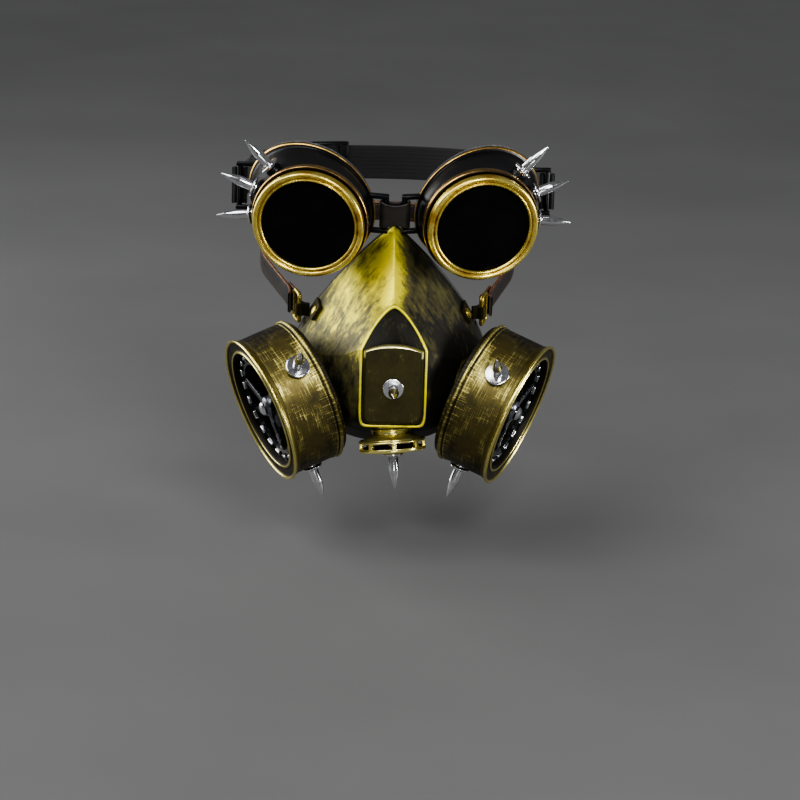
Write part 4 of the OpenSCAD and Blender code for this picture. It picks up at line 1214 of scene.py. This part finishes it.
def ribbon(path, width, thick, closed=False, ribs=0, waist=None):
    """A strap along a path in plan, its width along Z. Returns its loops, tones and unrolled places."""
    section = []
    edge = thick / 2
    for k in range(7):
        a = math.pi * k / 6
        section.append((width / 2 - edge + edge * math.sin(a), edge * math.cos(a), math.sin(a)))
    face = [(width / 2 - edge) * (1 - 2 * k / 24) for k in range(1, 24)]
    rib = (lambda z: 0.12 * math.cos(TAU * ribs * z / width) if ribs else 0)
    section += [(z, -edge + rib(z), 0.0) for z in face]
    for k in range(7):
        a = math.pi * k / 6
        section.append((-width / 2 + edge - edge * math.sin(a), -edge * math.cos(a), math.sin(a)))
    section += [(-z, edge - rib(z), 0.0) for z in face]
    loops, tones, local = [], [], []
    gone = 0.0
    for i, p in enumerate(path):
        before = path[i - 1] if i or closed else p
        after = path[(i + 1) % len(path)] if i < len(path) - 1 or closed else p
        run = (after - before).normalized()
        out = Vector((run.y, -run.x, 0))
        gone += (p - path[i - 1]).length if i else 0
        size = waist(p) if waist else 1
        loops.append([p + out * n + Vector((0, 0, z * size)) for z, n, _ in section])
        tones += [tone for _, _, tone in section]
        local += [Vector((gone, n, z)) for z, n, _ in section]
    return loops, tones, local


def strap_path(bar, radius, eye):
    """Plan of half a strap: its sewn-back tail, the turn round a bar, a straight run and the arc to the back.
    The plan's origin is the middle of the arc, with Y to the back of the head."""
    start, touch = touch_arc(bar, radius)
    run = (touch - bar).normalized()
    out = Vector((run.y, -run.x, 0))
    path = []
    for s in (15, 13, 11, 9, 7.5, 6, 4.5):
        inward = STRAP_T + 0.1 + (eye + STRAP_T / 2 - STRAP_T - 0.1) * max(0, 1 - s / 9) ** 1.5
        path.append(bar + run * s - out * inward)
    turn = eye + STRAP_T / 2
    first = math.atan2(-out.y, -out.x)
    for k in range(15):
        a = first + (math.pi * k / 14) * (1 if run.x * out.y - run.y * out.x > 0 else -1)
        path.append(bar + turn * Vector((math.cos(a), math.sin(a), 0)))
    length = (touch - bar).length
    for k in range(1, 13):
        s = length * k / 12
        outward = turn * max(0, 1 - s / 12) ** 2
        path.append(bar + run * s + out * outward)
    for k in range(1, 33):
        a = start + (math.pi / 2 - start) * k / 32
        path.append(radius * Vector((math.cos(a), math.sin(a), 0)))
    return path


def whole_path(half):
    return half + [Vector((-p.x, p.y, 0)) for p in reversed(half[:-1])]


def stitches(path, width, inset, pitch, length, face):
    """Short threads along both edges of a strap, on the face that lies outside (1) or inside (-1)."""
    shape = Shape()
    goal, gone = pitch, 0.0
    for i in range(1, len(path)):
        step = (path[i] - path[i - 1]).length
        while gone + step >= goal:
            p = path[i - 1].lerp(path[i], (goal - gone) / step)
            run = (path[i] - path[i - 1]).normalized()
            out = Vector((run.y, -run.x, 0))
            for v in (-1, 1):
                to = Matrix((run, out, Vector((0, 0, 1)))).transposed().to_4x4()
                to.translation = p + out * face * STRAP_T / 2 + Vector((0, 0, v * (width / 2 - inset)))
                shape.add(*stitch_shape(length), to=to)
            goal += pitch
        gone += step
    return shape


def stitch_shape(length):
    loops = []
    for x, r in ((-0.5, 0.07), (-0.42, 0.17), (-0.2, 0.21), (0.2, 0.21), (0.42, 0.17), (0.5, 0.07)):
        drop = -0.3 * (2 * x) ** 4
        angles = [TAU * k / 6 for k in range(6)]
        loops.append([Vector((x * length, r * math.cos(a) + drop, r * math.sin(a))) for a in angles])
    return loft(loops)


def strap(name, bar, radius, eye, width, thick, to, material, body, node, ribs=0):
    path = whole_path(strap_path(bar, radius, eye))
    loops, tones, local = ribbon(path, width, thick, ribs=ribs)
    points, faces = loft(loops)
    shape = Shape().add(points, faces, to=to, local=local)
    shape.tone = tones
    add_piece(name, shape, material, body, [node], sharp=60)
    return path


def straps():
    path = strap("mask_strap_leather", mask_bar, MASK_STRAP_R, 2.0, MASK_STRAP_W, STRAP_T - 0.1, MASK_STRAP,
                 STRAP_LEATHER, "mask", "mask_strap")
    for face, side in ((-1, "in"), (1, "out")):
        sewn = stitches(path[24:-24], MASK_STRAP_W, 1.9, 3.2, 2.2, face)
        sewn.points = [MASK_STRAP @ p for p in sewn.points]
        add_piece("mask_strap_stitches_" + side, sewn, THREAD, "mask", [])
    strap("goggle_strap_webbing", goggle_bar, GOGGLE_STRAP_R, 2.6, GOGGLE_STRAP_W, STRAP_T - 0.2,
          GOGGLE_STRAP, WEBBING, "goggles", "goggle_strap", ribs=9)


def slider(name, to, turn, radius, width, material):
    """A three-bar buckle, bent to the strap's curve."""
    gap, rail, bar_t = 0.3, 2.0, 1.4
    radian = 57.3  # degrees, for lengths along the strap
    slot_in, slot_out = radius - STRAP_T / 2 - gap, radius + STRAP_T / 2 + gap
    shape = Shape()

    def bent(points, r):
        out = []
        for p in points:
            a = math.radians(90 + turn) - p.x / r
            out.append(Vector(((r + p.y) * math.cos(a), (r + p.y) * math.sin(a), p.z)))
        return out

    middle = (slot_in + slot_out) / 2
    for e in (-1, 1):
        points, faces = rounded_box(
            (22.6 / radian * middle, slot_out - slot_in + 2 * bar_t + 0.4, rail), 0.7, 10)
        points = [p + Vector((0, 0, e * (width / 2 + gap + rail / 2))) for p in points]
        shape.add(bent(points, middle), faces, to=to)
    tall = width + 2 * gap + 1
    outer, inner = slot_out + bar_t / 2, slot_in - bar_t / 2
    for at, r, w in ((0, outer, 5.0), (-9, inner, 4.0), (9, inner, 4.0)):
        points, faces = rounded_box((w / radian * r, bar_t, tall), 0.5, 2)
        points = [p + Vector((at / radian * r, 0, 0)) for p in points]
        shape.add(bent(points, r), faces, to=to)
    add_piece(name + "_bars", shape, material, name, [name])


def in_strap_plan(frame_matrix, point):
    """Where a point of the model lies in a strap's plan."""
    p = frame_matrix.inverted() @ point
    return Vector((p.x, p.y, 0))


RING_LEN = 9
ring_inner = in_strap_plan(MASK_STRAP, Vector(joints["left_ring_swing"]["pos_m"]) / MM)
mask_bar = ring_inner + RING_LEN * (touch_arc(ring_inner, MASK_STRAP_R)[1] - ring_inner).normalized()
goggle_bar = in_strap_plan(GOGGLE_STRAP, GOGGLE @ Vector((45.5, 0, -10.4)))


# ---------- CAD parts that keep their shape ----------
def repaint_cad():
    kinds = [
        (CAD_CHROME, ["snout_spike_screw", "exhaust_spike_screw", "SIDE_fan_axle", "SIDE_drum_spike_screws",
                      "SIDE_goggle_spike_screws"]),
        (CAD_GOLD, ["SIDE_strap_ring", "strap_tab_rivets"]),
        (CAD_DARK, ["SIDE_strap_tab", "SIDE_port_sleeve"])]
    for material, names in kinds:
        for name in names:
            for side in (("left", "right") if "SIDE" in name else ("",)):
                mesh = frame["nodes"][name.replace("SIDE", side)].data
                mesh.materials.clear()
                mesh.materials.append(material)


# ---------- stage ----------
def camera():
    azimuth, elevation, roll = math.radians(-2), math.radians(15), math.radians(1.6)
    level = math.cos(elevation)
    back = Vector((math.sin(azimuth) * level, -math.cos(azimuth) * level, math.sin(elevation)))
    data = bpy.data.cameras.new("camera")
    data.lens, data.sensor_width = 130, 36
    data.shift_x, data.shift_y = 0.01375, -0.0625
    view = new_object("camera", data)
    view.location = 1.6 * back
    turn = (-back).to_track_quat("-Z", "Y").to_matrix() @ Matrix.Rotation(roll, 3, "Z")
    view.rotation_euler = turn.to_euler()
    scene.camera = view


def area_light(name, at, target, size, power):
    data = bpy.data.lights.new(name, "AREA")
    data.shape, data.size, data.energy = "DISK", size, power
    light = new_object(name, data)
    light.location = at
    light.rotation_euler = (Vector(target) - Vector(at)).to_track_quat("-Z", "Y").to_euler()


def stage():
    floor_z = cad_box[0].z - 0.03
    mesh = bpy.data.meshes.new("floor")
    corners = [(x * 6, y * 6, floor_z) for x, y in ((-1, -1), (1, -1), (1, 1), (-1, 1))]
    mesh.from_pydata(corners, [], [(0, 1, 2, 3)])
    floor = new_object("floor", mesh)
    mesh.materials.append(floor_paint())
    world = bpy.data.worlds.new("studio")
    world.use_nodes = True
    sky = world.node_tree.nodes["Background"].inputs
    sky["Color"].default_value, sky["Strength"].default_value = (0.86, 0.88, 0.9, 1), 0.15
    scene.world = world
    sun = new_object("soft_sun", bpy.data.lights.new("soft_sun", "SUN"))
    sun.data.energy, sun.data.angle = 1.8, math.radians(40)
    sun.rotation_euler = Vector((0.50, 0.38, -0.78)).to_track_quat("-Z", "Y").to_euler()
    area_light("key", (-1.00, 0.34, 0.36), (0, -0.03, 0.03), 1.1, 12)
    area_light("front", (0.22, -1.05, 0.72), (0, -0.03, 0.0), 0.4, 8)
    area_light("low", (0.10, -1.2, -0.02), (0, -0.03, -0.03), 0.3, 1.3)
    area_light("fill", (0.98, -0.22, 0.12), (0, -0.03, 0.0), 0.35, 7)


camera()
face_shell()
face_cushion()
snout()
exhaust()
canister_shell()
grille()
fan()
filter_pad()
eyecup()
goggle_rings()
eye_cushion()
side_spikes()
bridge()
straps()
slider("mask_strap_slider", MASK_STRAP, -28, MASK_STRAP_R, MASK_STRAP_W, CHROME)
slider("goggle_strap_slider", GOGGLE_STRAP, 28, GOGGLE_STRAP_R, GOGGLE_STRAP_W, CUP_BLACK)
repaint_cad()
stage()
